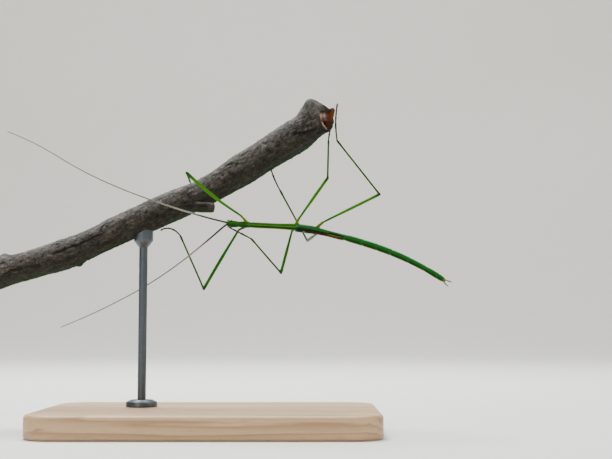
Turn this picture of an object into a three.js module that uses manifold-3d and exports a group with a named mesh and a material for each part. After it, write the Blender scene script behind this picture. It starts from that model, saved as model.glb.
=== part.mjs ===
// A short-winged green stick insect, life size, hanging below a broken branch
// that a plain display stand holds up.
//
// Units are millimetres and degrees, and +Z is up. The head points to -X, the tail
// to +X, and the insect's back is turned to -Y and a little down. The origin is the
// middle of the underside of the stand's base.
//
// Every long piece is a lathed form laid along a path. A path starts at a point and
// follows rows of [distance along it, azimuth, elevation], with the heading turning
// evenly from row to row. A frame on a path has a point and three directions:
// along, side (the insect's right when it is rolled) and under (its belly).

import * as THREE from "three";
import { mergeVertices } from "three/addons/utils/BufferGeometryUtils.js";
import Module from "manifold-3d";

const wasm = await Module();
wasm.setup();

// ---------------------------------------------------------------- driving sizes

const GAP = 0.15; // clearance between neighbouring pieces
const PATH_STEP = 0.25; // step in which a path is followed

// The body, from the front of the head to the tip of the abdomen.
const BODY = {
  start: [5.2, 0, 72.07],
  headings: [
    [0, 0, -3.3],
    [22, 0, -2.5],
    [32, 0, -13],
    [52, 0, -18],
    [66, 0, -26],
    [81, 0, -34.5],
  ],
  roll: 125, // turn about its own line: the belly faces the branch
  flatness: 0.92, // depth from back to belly over width
};

// Distances along the body where its divisions start.
const NECK = 4.1;
const MESOTHORAX_START = 8.2;
const METATHORAX_START = 24.6;
const ABDOMEN_START = 32.8;
const ABDOMEN_END = 80.2;
const ABDOMEN_JOINTS = [41.9, 48.4, 53.6, 58.8, 65.6, 71.9, 77.0];

// Body radius by distance along the body.
const HEAD_RADII = [
  [0, 0.45],
  [0.5, 0.88],
  [1.5, 1.14],
  [2.8, 1.14],
  [3.6, 1.04],
  [4.1, 0.94],
];
const TRUNK_RADII = [
  [4.1, 0.96],
  [5.0, 1.05],
  [7.4, 1.07],
  [8.2, 0.97],
  [18, 0.97],
  [20.5, 1.07],
  [22.8, 1.18],
  [24.6, 1.2],
  [28, 1.2],
  [31, 1.22],
  [33.5, 1.0],
  [36, 0.9],
  [41, 0.95],
  [44, 1.16],
  [56, 1.15],
  [66, 1.03],
  [72, 0.95],
  [75.5, 1.04],
  [78, 0.99],
  [80.2, 0.64],
];

// A lobe on each side of the head's front, and the eye behind it.
const BROW = { station: 0.6, out: 1.05, drop: 0.2, radius: 0.5 };
const EYE = { station: 1.65, out: 1.08, up: -0.1, radius: 0.5 };

// Claspers: two blunt horns that spread from the tip of the tail.
const CLASPER = { length: 2, radius: 0.28, spread: 0.42, tipSpread: 1.16 };
const CLASPER_SHAPE = [[0, 0.8], [0.25, 1], [0.6, 0.95], [1, 0.5]];

// Feelers: a thick first joint, then an even thread that thins towards its tip.
const FEELER = { station: 0.2, out: 0.5, length: 84, rootRadius: 0.34, steps: 17 };
const FEELER_ROOT_RADII = [
  [0, 0.2],
  [0.3, 0.34],
  [1.3, 0.34],
];
const FEELER_RADII = [
  [1.5, 0.36],
  [14, 0.3],
  [84, 0.25],
];
const FEELER_PATHS = {
  right: [
    [0, 205, 10],
    [10, 204, 13],
    [30, 198, 18],
    [45, 186, 24],
    [62, 172, 32],
    [84, 165, 21],
  ],
  left: [
    [0, 145, -28],
    [4, 146, -33],
    [20, 148, -31],
    [50, 152, -23],
    [84, 152, -17],
  ],
};

// Wings: plates bent round the back. reach is how far each goes round from the
// middle of the back, and taper the share of its length over which an end narrows.
const TEGMEN = { start: 24.3, length: 5.2, reach: [4, 62], taper: 0.45 };
const HINDWING = { start: 29.7, length: 11.7, reach: [7, 84], taper: 0.2 };
const WING = { lift: 0.14, thickness: 0.5, tipWidth: 0.15, stepsAround: 4, stepsAlong: 12 };

// Legs. station is where a leg leaves the body's line; out and drop say how far its
// hip stands from that line, to the side and to the belly. Radii are the thickest.
const LEG_PAIRS = {
  front: {
    station: 7.4, out: 2.95, drop: 1.1,
    femur: 25, tibia: 22, tarsus: 9.8,
    coxaRadius: 0.48, femurRadius: 0.59,
  },
  middle: {
    station: 24, out: 2.7, drop: 1.8,
    femur: 17.5, tibia: 16.5, tarsus: 9,
    coxaRadius: 0.55, femurRadius: 0.56,
  },
  hind: {
    station: 31.2, out: 2.7, drop: 1.8,
    femur: 23.8, tibia: 24.5, tarsus: 13.6,
    coxaRadius: 0.57, femurRadius: 0.57,
  },
};
const HIP_ROOT = { out: 0.5, drop: 0.3 }; // where a hip's own line starts inside the body
const KNEE = { before: 0.6, after: 0.95 }; // where the femur ends and the tibia starts at a knee
const ANKLE_GAP = 0.36; // clearance at the hip and at the ankle
const TIBIA_RADIUS = 0.39;

// Thickness of a leg's pieces along their length, in shares of length and radius.
const COXA_SHAPE = [[0, 0.7], [0.12, 1], [0.6, 1], [0.72, 0.78], [0.8, 0.95], [1, 0.8]];
const FEMUR_SHAPE = [
  [0, 0.6], [0.03, 0.66], [0.25, 0.76], [0.5, 1], [0.85, 0.96], [0.97, 0.98], [1, 0.7],
];
const TIBIA_SHAPE = [[0, 0.8], [0.04, 1.15], [0.12, 0.9], [0.9, 0.9], [0.97, 1.15], [1, 0.9]];

// A tarsus is narrow just after each of its joints and swells before the next one.
const TARSUS = {
  radius: 0.34,
  joints: 5,
  waist: { after: 0.25, width: 0.95 },
  swelling: { before: 0.15, width: 1.15 },
  end: 0.8,
};

// The pose. forward is how far the hip lies in front of the station. The headings
// are [azimuth, elevation]; a tarsus turns from its first heading to its last. bow is
// how far the middle of a femur sags below a straight line.
const LEGS = [
  { name: "leg_right_front", pair: "front", side: 1, forward: 2.6, bow: 0.66,
    femur: [-148, 32.7], tibia: [92.9, -0.3], tarsus: [[80, -18], [80, -95]] },
  { name: "leg_left_front", pair: "front", side: -1, forward: 3.2, bow: -0.15,
    femur: [153.1, -55.2], tibia: [150.2, 61.7], tarsus: [[222, 46], [230, -28]] },
  { name: "leg_right_middle", pair: "middle", side: 1, forward: -1.2,
    femur: [5.6, 54.9], tibia: [86.7, 61.4], tarsus: [[88, 36], [60, 85]] },
  { name: "leg_left_middle", pair: "middle", side: -1, forward: 1,
    femur: [114, -55.2], tibia: [-155.7, 46.1], tarsus: [[-158, 26], [-193, 28]] },
  { name: "leg_right_hind", pair: "hind", side: 1, forward: -2,
    femur: [17.7, 26.5], tibia: [-178.1, 51.9], tarsus: [[150, 82], [20, 81]] },
  { name: "leg_left_hind", pair: "hind", side: -1, forward: -0.5,
    femur: [97.3, -1], tibia: [-124.4, 44.4], tarsus: [[182, 62], [100, 72]] },
];

// The branch, from its sawn end to its broken one.
const BRANCH = {
  start: [-81, 8.5, 53.6],
  length: 139,
  headings: [
    [0, 0, 15.6],
    [26, 0, 17.3],
    [42, 0, 26.3],
    [78, 0, 22.8],
    [92, 0, 32.7],
    [128, 0, 31.5],
    [139, 0, 5],
  ],
  radii: [
    [0, 5.9],
    [11, 5.2],
    [19, 5.2],
    [29, 5.6],
    [36, 5.2],
    [44, 5.05],
    [63, 5.6],
    [72, 5.5],
    [80, 5.1],
    [92, 5.3],
    [99, 6],
    [107, 5.8],
    [121, 6.2],
    [125, 5.9],
    [129, 4.9],
    [133, 4.3],
    [139, 3.3],
  ],
  sides: 18,
  knobStart: 119, // where the thick broken end begins, and the rings stand closer
  rings: { plain: 33, knob: 11 },
};

// Swellings of the bark: where along the branch, how far round from its top
// (positive towards the back), how high, and how far each reaches along and round.
const SWELLINGS = [
  { along: 131.8, around: 0, height: 5.2, length: 3.2, width: 50 },
  { along: 138.5, around: 42, height: 2.8, length: 2.5, width: 20 },
  { along: 127.8, around: 0, height: 0.8, length: 2, width: 60 },
  { along: 32.5, around: 180, height: 0.7, length: 1.8, width: 28 },
  { along: 8.3, around: 0, height: 1.2, length: 1.8, width: 40 },
  { along: 47.5, around: -60, height: 0.4, length: 2.4, width: 70 },
];

// The break at the branch's end: a slanting face with a rotten hollow in it.
const BREAK = { point: [40.6, 8.5, 110.4], azimuth: -34, elevation: 2 };
const HOLLOW = { radius: 1, bottom: 0.5, depth: 2.4, offset: [-0.25, -0.35, -1] };

// The stub of a twig that broke off the front of the branch's underside.
const STUB = {
  start: [-11.5, 5.5, 78.2],
  headings: [
    [0, -14, 4],
    [12, -6, -6],
  ],
  length: 12.2,
  radii: [
    [0, 1.4],
    [6, 1.9],
    [11, 1.75],
    [12.2, 1.45],
  ],
  pit: { radius: 0.9, bottom: 0.45, depth: 1.6, beyond: 1 },
};

const STAND = {
  base: { length: 116, width: 72, height: 8, corner: 10, bevel: 1.2 },
  rod: { x: -25, radius: 1.5 },
  flange: { radius: 5.5, height: 2.5, slopeWidth: 1.5, slopeHeight: 1 },
  saddle: { radius: 3.4, bottom: 64.5, height: 6, neckRadius: 1.9, neckHeight: 2 },
};

// ---------------------------------------------------------------------- colours

const COLOURS = {
  head: 0x5a8f1c,
  eye: 0x14140f,
  feeler: 0x4a5222,
  thorax: 0x5a8c10,
  abdomen: 0x3a7a1c,
  tegmen: 0x3c8450,
  hindwing: 0x2f7a34,
  coxa: 0x7f8a18,
  leg: 0x4c8a20,
  tarsus: 0x50622a,
  clasper: 0x6e5a20,
  bark: 0x4a463f,
  wood: 0xb08a5c,
  steel: 0xb8bcc0,
};

function finish(colour, roughness, metalness = 0) {
  return new THREE.MeshStandardMaterial({ color: colour, roughness, metalness });
}

const skin = (colour) => finish(colour, 0.45);

// ------------------------------------------------------------------------ paths

const UP = new THREE.Vector3(0, 0, 1);
const toPoint = (list) => new THREE.Vector3(...list);

// The value at one distance in rows of [distance, value, ...], held at the ends.
function valueAt(rows, distance, column = 1) {
  const next = rows.findIndex((row) => row[0] > distance);
  if (next === 0) return rows[0][column];
  if (next === -1) return rows[rows.length - 1][column];
  const [before, after] = [rows[next - 1], rows[next]];
  const share = (distance - before[0]) / (after[0] - before[0]);
  return THREE.MathUtils.lerp(before[column], after[column], share);
}

function heading(azimuth, elevation) {
  const polar = THREE.MathUtils.degToRad(90 - elevation);
  const around = THREE.MathUtils.degToRad(azimuth);
  const flat = Math.sin(polar);
  return new THREE.Vector3(flat * Math.cos(around), flat * Math.sin(around), Math.cos(polar));
}

function frameOf(point, along, roll) {
  const side = UP.clone().cross(along).normalize();
  const under = side.clone().cross(along).normalize();
  const turn = THREE.MathUtils.degToRad(roll);
  side.applyAxisAngle(along, turn);
  under.applyAxisAngle(along, turn);
  return { point, along, side, under };
}

// A path as a function from the distance along it to the frame there. It runs on
// straight beyond both of its ends.
function makePath(start, rows, length, roll = 0) {
  const headingAt = (distance) => heading(valueAt(rows, distance), valueAt(rows, distance, 2));
  const steps = Math.ceil(length / PATH_STEP);
  const step = length / steps;
  const points = [toPoint(start)];
  for (let index = 0; index < steps; index += 1) {
    const last = points[points.length - 1];
    points.push(last.clone().addScaledVector(headingAt((index + 0.5) * step), step));
  }
  return (distance) => {
    const inside = THREE.MathUtils.clamp(distance, 0, length);
    const index = Math.min(Math.floor(inside / step), steps - 1);
    const point = points[index].clone().lerp(points[index + 1], inside / step - index);
    const along = headingAt(inside);
    point.addScaledVector(along, distance - inside);
    return frameOf(point, along, roll);
  };
}

// A straight path.
function line(start, direction) {
  const along = direction.clone().normalize();
  return (distance) => frameOf(start.clone().addScaledVector(along, distance), along, 0);
}

// ------------------------------------------------------------------------ forms

// A closed round form along +Y, from rows of [distance, radius].
function roundForm(rows, sides) {
  const first = rows[0][0];
  const last = rows[rows.length - 1][0];
  const outline = [
    new THREE.Vector2(0, first),
    ...rows.map(([distance, radius]) => new THREE.Vector2(radius, distance)),
    new THREE.Vector2(0, last),
  ];
  return new THREE.LatheGeometry(outline, sides);
}

// Lays a form that was made along +Y onto a path. swell gives how much thicker the
// form is at a distance along the path and an angle round it.
function layAlong(form, path, flatness = 1, swell = () => 1) {
  const places = form.attributes.position;
  for (let index = 0; index < places.count; index += 1) {
    const [across, distance, deep] = [places.getX(index), places.getY(index), places.getZ(index)];
    const frame = path(distance);
    const factor = swell(distance, Math.atan2(across, -deep));
    const place = frame.point
      .addScaledVector(frame.side, across * factor)
      .addScaledVector(frame.under, deep * flatness * factor);
    places.setXYZ(index, place.x, place.y, place.z);
  }
  return form;
}

// Rows of radii cut out of a longer table, closed by a rounded end at each side.
function slice(table, from, to, count, roundness = 0.7) {
  const bulge = Math.min(0.3, (to - from) / 6);
  const stations = [from + bulge];
  for (let index = 1; index < count; index += 1) {
    stations.push(THREE.MathUtils.lerp(from + bulge, to - bulge, index / count));
  }
  stations.push(to - bulge);
  return [
    [from, valueAt(table, from) * roundness],
    ...stations.map((distance) => [distance, valueAt(table, distance)]),
    [to, valueAt(table, to) * roundness],
  ];
}

// Rows of radii from a shape given in shares of a length and a radius.
function limbRows(length, radius, shape) {
  return shape.map(([share, thickness]) => [share * length, thickness * radius]);
}

// -------------------------------------------------------------- joins and cuts

function toSolid(geometry) {
  const bare = geometry.clone();
  bare.deleteAttribute("normal");
  bare.deleteAttribute("uv");
  const merged = mergeVertices(bare, 1e-4);
  return new wasm.Manifold(new wasm.Mesh({
    numProp: 3,
    vertProperties: merged.attributes.position.array,
    triVerts: Uint32Array.from(merged.index.array),
  }));
}

function toGeometry(solid) {
  const result = solid.getMesh();
  const geometry = new THREE.BufferGeometry();
  geometry.setAttribute("position", new THREE.BufferAttribute(result.vertProperties, 3));
  geometry.setIndex(new THREE.BufferAttribute(result.triVerts, 1));
  return geometry;
}

function joined(...geometries) {
  return toGeometry(geometries.map(toSolid).reduce((solid, other) => solid.add(other)));
}

function cutAway(geometry, ...cutters) {
  const left = cutters.reduce((solid, cutter) => solid.subtract(toSolid(cutter)), toSolid(geometry));
  return toGeometry(left);
}

// ------------------------------------------------------------------- the object

const insect = new THREE.Group();

function addPiece(name, geometry, material) {
  const mesh = new THREE.Mesh(geometry, material);
  mesh.name = name;
  insect.add(mesh);
  return mesh;
}

const bodyPath = makePath(BODY.start, BODY.headings, ABDOMEN_END, BODY.roll);

// A point beside the body's line: forward, to one side, and towards the belly.
function bodyPoint(station, forward, out, drop) {
  const { point, along, side, under } = bodyPath(station);
  return point.addScaledVector(along, -forward).addScaledVector(side, out).addScaledVector(under, drop);
}

function bodyForm(rows, sides = 12) {
  return layAlong(roundForm(rows, sides), bodyPath, BODY.flatness);
}

function ball(centre, radius) {
  return new THREE.SphereGeometry(radius, 10, 7).translate(...centre.toArray());
}

// ---- head

const eyeCentres = {
  right: bodyPoint(EYE.station, 0, EYE.out, -EYE.up),
  left: bodyPoint(EYE.station, 0, -EYE.out, -EYE.up),
};
const sockets = Object.values(eyeCentres).map((centre) => ball(centre, EYE.radius + GAP / 2));
const brows = [1, -1].map((sign) => (
  ball(bodyPoint(BROW.station, 0, sign * BROW.out, BROW.drop), BROW.radius)
));
addPiece("head", cutAway(joined(bodyForm(HEAD_RADII), ...brows), ...sockets), skin(COLOURS.head));
for (const [side, centre] of Object.entries(eyeCentres)) {
  addPiece(`eye_${side}`, ball(centre, EYE.radius), finish(COLOURS.eye, 0.15));
}

// ---- feelers

function feelerForm(side) {
  const sign = side === "right" ? 1 : -1;
  const root = bodyPoint(FEELER.station, FEELER.rootRadius, sign * FEELER.out, 0);
  const path = makePath(root.toArray(), FEELER_PATHS[side], FEELER.length);
  const rows = [...FEELER_ROOT_RADII];
  for (let index = 0; index <= FEELER.steps; index += 1) {
    const distance = THREE.MathUtils.lerp(FEELER_RADII[0][0], FEELER.length, index / FEELER.steps);
    rows.push([distance, valueAt(FEELER_RADII, distance)]);
  }
  return layAlong(roundForm(rows, 6), path);
}

for (const side of ["right", "left"]) {
  const headroom = bodyForm(HEAD_RADII.map(([distance, radius]) => [distance, radius + GAP]));
  addPiece(`antenna_${side}`, cutAway(feelerForm(side), headroom), skin(COLOURS.feeler));
}

// ---- thorax and abdomen

addPiece(
  "prothorax",
  bodyForm(slice(TRUNK_RADII, NECK + GAP, MESOTHORAX_START, 6)),
  skin(COLOURS.thorax),
);
addPiece(
  "mesothorax",
  bodyForm(slice(TRUNK_RADII, MESOTHORAX_START + GAP, METATHORAX_START, 9)),
  skin(COLOURS.thorax),
);
addPiece(
  "metathorax",
  bodyForm(slice(TRUNK_RADII, METATHORAX_START + GAP, ABDOMEN_START, 6)),
  skin(COLOURS.thorax),
);
const abdomenEnds = [ABDOMEN_START, ...ABDOMEN_JOINTS, ABDOMEN_END];
for (let index = 1; index < abdomenEnds.length; index += 1) {
  const rows = slice(TRUNK_RADII, abdomenEnds[index - 1] + GAP, abdomenEnds[index], 4, 0.85);
  addPiece(`abdomen_segment_${index}`, bodyForm(rows), skin(COLOURS.abdomen));
}

// ---- claspers at the tip of the abdomen

for (const [side, sign] of [["right", 1], ["left", -1]]) {
  const root = bodyPoint(ABDOMEN_END + GAP, 0, sign * CLASPER.spread, 0);
  const tip = bodyPoint(ABDOMEN_END + CLASPER.length, 0, sign * CLASPER.tipSpread, 0);
  const reach = tip.sub(root);
  const rows = limbRows(reach.length(), CLASPER.radius, CLASPER_SHAPE);
  const form = layAlong(roundForm(rows, 8), line(root, reach));
  addPiece(`clasper_${side}`, form, skin(COLOURS.clasper));
}

// ---- wings

// A plate bent round the back, with its two ends narrowed to a round outline.
function wingForm(wing, sign) {
  const form = new THREE.BoxGeometry(1, 1, 1, WING.stepsAround, WING.stepsAlong, 1);
  const [inner, outer] = wing.reach.map(THREE.MathUtils.degToRad);
  const places = form.attributes.position;
  for (let index = 0; index < places.count; index += 1) {
    const share = places.getY(index) + 0.5;
    const distance = wing.start + share * wing.length;
    const toEnd = Math.min(share, 1 - share) / wing.taper;
    const roundness = toEnd < 1 ? Math.sqrt(1 - (1 - toEnd) ** 2) : 1;
    const width = THREE.MathUtils.lerp(WING.tipWidth, 1, roundness);
    const angle = sign * (inner + (outer - inner) * (0.5 + places.getX(index) * width * sign));
    const depth = WING.thickness * (0.5 - places.getZ(index));
    const level = valueAt(TRUNK_RADII, distance) + WING.lift + depth;
    const frame = bodyPath(distance);
    const place = frame.point
      .addScaledVector(frame.side, level * Math.sin(angle))
      .addScaledVector(frame.under, -level * Math.cos(angle));
    places.setXYZ(index, place.x, place.y, place.z);
  }
  return form;
}

for (const [side, sign] of [["right", 1], ["left", -1]]) {
  addPiece(`tegmen_${side}`, wingForm(TEGMEN, sign), finish(COLOURS.tegmen, 0.4));
  addPiece(`hindwing_${side}`, wingForm(HINDWING, sign), finish(COLOURS.hindwing, 0.35));
}

// ---- legs

function tarsusRows(length) {
  const { radius, joints, waist, swelling, end } = TARSUS;
  const rows = [[0, radius * end]];
  const joint = length / joints;
  for (let index = 0; index < joints; index += 1) {
    rows.push([index * joint + waist.after, radius * waist.width]);
    rows.push([(index + 1) * joint - swelling.before, radius * swelling.width]);
  }
  rows.push([length, radius * end]);
  return rows;
}

function bowed(path, length, bow) {
  return (distance) => {
    const frame = path(distance);
    const share = THREE.MathUtils.clamp(distance / length, 0, 1);
    frame.point.addScaledVector(frame.under, bow * Math.sin(Math.PI * share));
    return frame;
  };
}

const bodyRoom = bodyForm(slice(TRUNK_RADII, NECK, ABDOMEN_END, 60).map(
  ([distance, radius]) => [distance, radius + GAP]));

for (const leg of LEGS) {
  const size = LEG_PAIRS[leg.pair];
  const root = bodyPoint(size.station, 0, leg.side * HIP_ROOT.out, HIP_ROOT.drop);
  const hip = bodyPoint(size.station, leg.forward, leg.side * size.out, size.drop);
  const reach = hip.clone().sub(root);
  const coxaRows = limbRows(reach.length(), size.coxaRadius, COXA_SHAPE);
  const coxaForm = layAlong(roundForm(coxaRows, 8), line(root, reach));
  addPiece(`${leg.name}_coxa`, cutAway(coxaForm, bodyRoom), skin(COLOURS.coxa));

  const thigh = heading(...leg.femur);
  const femurStart = hip.clone().addScaledVector(thigh, ANKLE_GAP);
  const femurLength = size.femur - ANKLE_GAP - KNEE.before;
  const femurPath = bowed(line(femurStart, thigh), femurLength, leg.bow ?? 0);
  const femurRows = limbRows(femurLength, size.femurRadius, FEMUR_SHAPE);
  addPiece(`${leg.name}_femur`, layAlong(roundForm(femurRows, 8), femurPath), skin(COLOURS.leg));

  const knee = hip.clone().addScaledVector(thigh, size.femur);
  const shin = heading(...leg.tibia);
  const tibiaStart = knee.clone().addScaledVector(shin, KNEE.after);
  const tibiaLength = size.tibia - KNEE.after - GAP;
  const tibiaRows = limbRows(tibiaLength, TIBIA_RADIUS, TIBIA_SHAPE);
  const tibiaForm = layAlong(roundForm(tibiaRows, 8), line(tibiaStart, shin));
  addPiece(`${leg.name}_tibia`, tibiaForm, skin(COLOURS.leg));

  const ankle = knee.clone().addScaledVector(shin, size.tibia);
  const [first, last] = leg.tarsus;
  const tarsusStart = ankle.addScaledVector(heading(...first), ANKLE_GAP);
  const tarsusLength = size.tarsus - ANKLE_GAP;
  const tarsusHeadings = [[0, ...first], [tarsusLength, ...last]];
  const tarsusPath = makePath(tarsusStart.toArray(), tarsusHeadings, tarsusLength);
  const tarsusForm = layAlong(roundForm(tarsusRows(tarsusLength), 6), tarsusPath);
  addPiece(`${leg.name}_tarsus`, tarsusForm, skin(COLOURS.tarsus));
}

// ---- branch

const branchPath = makePath(BRANCH.start, BRANCH.headings, BRANCH.length);

function bellCurve(distance, width) {
  return Math.exp(-((distance / width) ** 2));
}

function barkSwell(distance, angle) {
  const radius = valueAt(BRANCH.radii, distance);
  const extra = SWELLINGS.reduce((sum, swelling) => {
    const off = THREE.MathUtils.radToDeg(angle) - swelling.around;
    const turned = THREE.MathUtils.euclideanModulo(off + 180, 360) - 180;
    const height = swelling.height * bellCurve(distance - swelling.along, swelling.length);
    return sum + height * bellCurve(turned, swelling.width);
  }, 0);
  return 1 + extra / radius;
}

// The distance of a ring of the branch, by its number from the sawn end.
function ringAt(number) {
  const { length, knobStart, rings } = BRANCH;
  const beyond = (number - rings.plain) / rings.knob;
  return beyond > 0
    ? THREE.MathUtils.lerp(knobStart, length, beyond)
    : (knobStart * number) / rings.plain;
}

function branchForm(extra = 0) {
  const rows = [];
  for (let number = 0; number <= BRANCH.rings.plain + BRANCH.rings.knob; number += 1) {
    const distance = ringAt(number);
    rows.push([distance, valueAt(BRANCH.radii, distance) + extra]);
  }
  return layAlong(roundForm(rows, BRANCH.sides), branchPath, 1, barkSwell);
}

const stubPath = makePath(STUB.start, STUB.headings, STUB.length);
const stubForm = layAlong(roundForm(STUB.radii, 12), stubPath);
const pitRows = [
  [STUB.length - STUB.pit.depth, STUB.pit.bottom],
  [STUB.length + STUB.pit.beyond, STUB.pit.radius],
];
const stubPit = layAlong(roundForm(pitRows, 8), stubPath);

const breakNormal = heading(BREAK.azimuth, BREAK.elevation);
const breakPoint = toPoint(BREAK.point);
const hollowCentre = breakPoint.clone().add(toPoint(HOLLOW.offset));
const hollowRows = [
  [-HOLLOW.depth, HOLLOW.bottom],
  [HOLLOW.depth, HOLLOW.radius],
];
const hollowForm = layAlong(roundForm(hollowRows, 10), line(hollowCentre, breakNormal));

const branchSolid = toSolid(branchForm())
  .trimByPlane(breakNormal.clone().negate().toArray(), -breakNormal.dot(breakPoint))
  .add(toSolid(stubForm))
  .subtract(toSolid(stubPit))
  .subtract(toSolid(hollowForm));
addPiece("branch", toGeometry(branchSolid), finish(COLOURS.bark, 0.9));

// ---- stand

function roundedPlate({ length, width, corner: radius }) {
  const [x, y] = [length / 2, width / 2];
  const plate = new THREE.Shape();
  plate.moveTo(-x + radius, -y);
  plate.lineTo(x - radius, -y);
  plate.absarc(x - radius, -y + radius, radius, -Math.PI / 2, 0);
  plate.absarc(x - radius, y - radius, radius, 0, Math.PI / 2);
  plate.absarc(-x + radius, y - radius, radius, Math.PI / 2, Math.PI);
  plate.absarc(-x + radius, -y + radius, radius, Math.PI, Math.PI * 1.5);
  return plate;
}

function standing(form, height) {
  return form.rotateX(Math.PI / 2).translate(STAND.rod.x, BRANCH.start[1], height);
}

const { base, rod, flange, saddle } = STAND;
const baseForm = new THREE.ExtrudeGeometry(roundedPlate(base), {
  depth: base.height - 2 * base.bevel,
  bevelThickness: base.bevel,
  bevelSize: base.bevel,
  bevelOffset: -base.bevel,
  bevelSegments: 1,
  curveSegments: 4,
}).translate(0, 0, base.bevel);
addPiece("stand_base", baseForm, finish(COLOURS.wood, 0.55));

const steel = finish(COLOURS.steel, 0.3, 1);
const flangeRows = [
  [0, flange.radius],
  [flange.height - flange.slopeHeight, flange.radius],
  [flange.height, flange.radius - flange.slopeWidth],
];
addPiece("stand_flange", standing(roundForm(flangeRows, 24), base.height), steel.clone());

const rodRows = [[0, rod.radius], [saddle.bottom - base.height - flange.height, rod.radius]];
const rodForm = standing(roundForm(rodRows, 16), base.height + flange.height);
addPiece("stand_rod", rodForm, steel.clone());

const saddleRows = [
  [0, saddle.neckRadius],
  [saddle.neckHeight, saddle.radius],
  [saddle.height, saddle.radius],
];
const saddleForm = standing(roundForm(saddleRows, 16), saddle.bottom);
addPiece("stand_saddle", cutAway(saddleForm, branchForm(GAP)), steel);

export default insect;
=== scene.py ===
"""A short-winged green stick insect, life size, hanging below a broken branch.

A plain stand of wood and steel holds the branch. The insect's head points to -X
and its tail to +X, and its back is turned to -Y and a little down. Pieces are made
in millimetres and brought to metres when they are finished.
"""

import math
import random

import bpy
from mathutils import Matrix, Vector, kdtree, noise


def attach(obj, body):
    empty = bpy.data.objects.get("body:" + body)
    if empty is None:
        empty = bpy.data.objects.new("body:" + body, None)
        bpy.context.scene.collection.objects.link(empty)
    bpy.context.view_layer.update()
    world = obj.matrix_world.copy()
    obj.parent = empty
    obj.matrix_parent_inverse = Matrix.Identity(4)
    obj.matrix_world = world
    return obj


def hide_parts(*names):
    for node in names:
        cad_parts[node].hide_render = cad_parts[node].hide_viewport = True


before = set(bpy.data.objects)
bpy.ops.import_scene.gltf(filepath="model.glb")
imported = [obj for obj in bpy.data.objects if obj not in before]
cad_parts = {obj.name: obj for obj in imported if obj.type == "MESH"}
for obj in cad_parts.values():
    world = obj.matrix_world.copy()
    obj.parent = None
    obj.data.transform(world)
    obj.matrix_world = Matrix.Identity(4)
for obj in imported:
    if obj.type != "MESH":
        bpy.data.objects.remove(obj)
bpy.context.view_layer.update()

bl_info = {
    "name": "Stick Insect on a Branch",
    "version": (1, 0, 0),
    "blender": (4, 5, 0),
    "location": "3D View > Sidebar > Stick Insect",
    "description": "Makes a life-size stick insect on a broken branch with its display stand",
    "category": "Add Mesh",
}

MM = 0.001
UP = Vector((0, 0, 1))

# ------------------------------------------------------------------ the insect's sizes

# Sizes are in millimetres. Headings are rows of (distance, azimuth, elevation) with the
# angles in degrees, and radii are rows of (distance, radius).
SIDES = (("right", 1), ("left", -1))
BODY_START = (5.2, 0, 72.07)
BODY_HEADINGS = (
    (0, 0, -3.3),
    (22, 0, -2.5),
    (32, 0, -13),
    (52, 0, -18),
    (66, 0, -26),
    (81, 0, -34.5),
)
BODY_ROLL = 125
BODY_FLATNESS = 0.92
BODY_END = 80.2
NECK = 4.1
MESOTHORAX = 8.2
METATHORAX = 24.6
ABDOMEN = 32.8
ABDOMEN_JOINTS = (41.9, 48.4, 53.6, 58.8, 65.6, 71.9, 77.0)
BODY_JOINTS = (NECK, MESOTHORAX, METATHORAX, ABDOMEN, *ABDOMEN_JOINTS)
BODY_RADII = (
    (0, 0.42),
    (0.25, 0.7),
    (0.7, 0.96),
    (1.5, 1.13),
    (2.8, 1.13),
    (3.6, 1.04),
    (4.1, 0.95),
    (5.0, 1.04),
    (7.4, 1.06),
    (8.2, 0.97),
    (18, 0.97),
    (20.5, 1.06),
    (22.8, 1.16),
    (24.6, 1.19),
    (28, 1.19),
    (31, 1.2),
    (33.5, 0.99),
    (36, 0.9),
    (41, 0.95),
    (44, 1.15),
    (56, 1.14),
    (66, 1.03),
    (72, 0.95),
    (75.5, 1.03),
    (78, 0.98),
    (79.7, 0.72),
    (80.2, 0.42),
)

BROW = {"station": 0.6, "out": 1.05, "drop": 0.2, "radius": 0.48}
EYE = {"station": 1.65, "out": 1.08, "up": -0.1, "radius": 0.5}
CLASPER = {"length": 2.0, "radius": 0.24, "spread": 0.42, "tip_spread": 1.16}

# Palps and jaws: from and to (station, out, drop), and radius.
MOUTHPARTS = (
    ((1.3, 0.42, 0.8), (0.35, 0.5, 1.25), 0.17),
    ((1.7, 0.25, 0.8), (0.8, 0.3, 1.4), 0.16),
    ((0.7, 0.2, 0.6), (0.05, 0.16, 0.8), 0.26),
)

FEELER_LENGTH = 84
FEELER_ROOT = {"station": 0.2, "out": 0.5, "forward": 0.34}
FEELER_HEADINGS = {
    "right": (
        (0, 205, 10),
        (10, 204, 13),
        (30, 198, 18),
        (45, 186, 24),
        (62, 172, 32),
        (84, 165, 21),
    ),
    "left": (
        (0, 145, -28),
        (4, 146, -33),
        (20, 148, -31),
        (50, 152, -23),
        (84, 152, -17),
    ),
}

# The part of a feeler before its rings: hidden in the head, then two thick joints.
FEELER_BASE = (
    (-1.2, 0.2), (-1.1, 0.33), (0.9, 0.35), (1.1, 0.3), (1.2, 0.3), (1.3, 0.35), (1.8, 0.34),
)
FEELER_RING = {"first": 2.1, "length": 0.9, "longest": 1.9, "growth": 1.03}

# Wings: where they start, their length, the angles they reach round the back, their
# height above it, the share of the length that narrows, and the cells of the sheet.
TEGMEN = {"start": 24.1, "length": 5.7, "reach": (4, 66), "lift": 0.34, "taper": 0.45,
          "cells": (20, 30)}
HINDWING = {"start": 26.4, "length": 15.0, "reach": (6, 82), "lift": 0.16, "taper": 0.2,
            "cells": (28, 64)}
WING_VEINS = 9.0
WING_CELLS = 14.0

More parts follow.
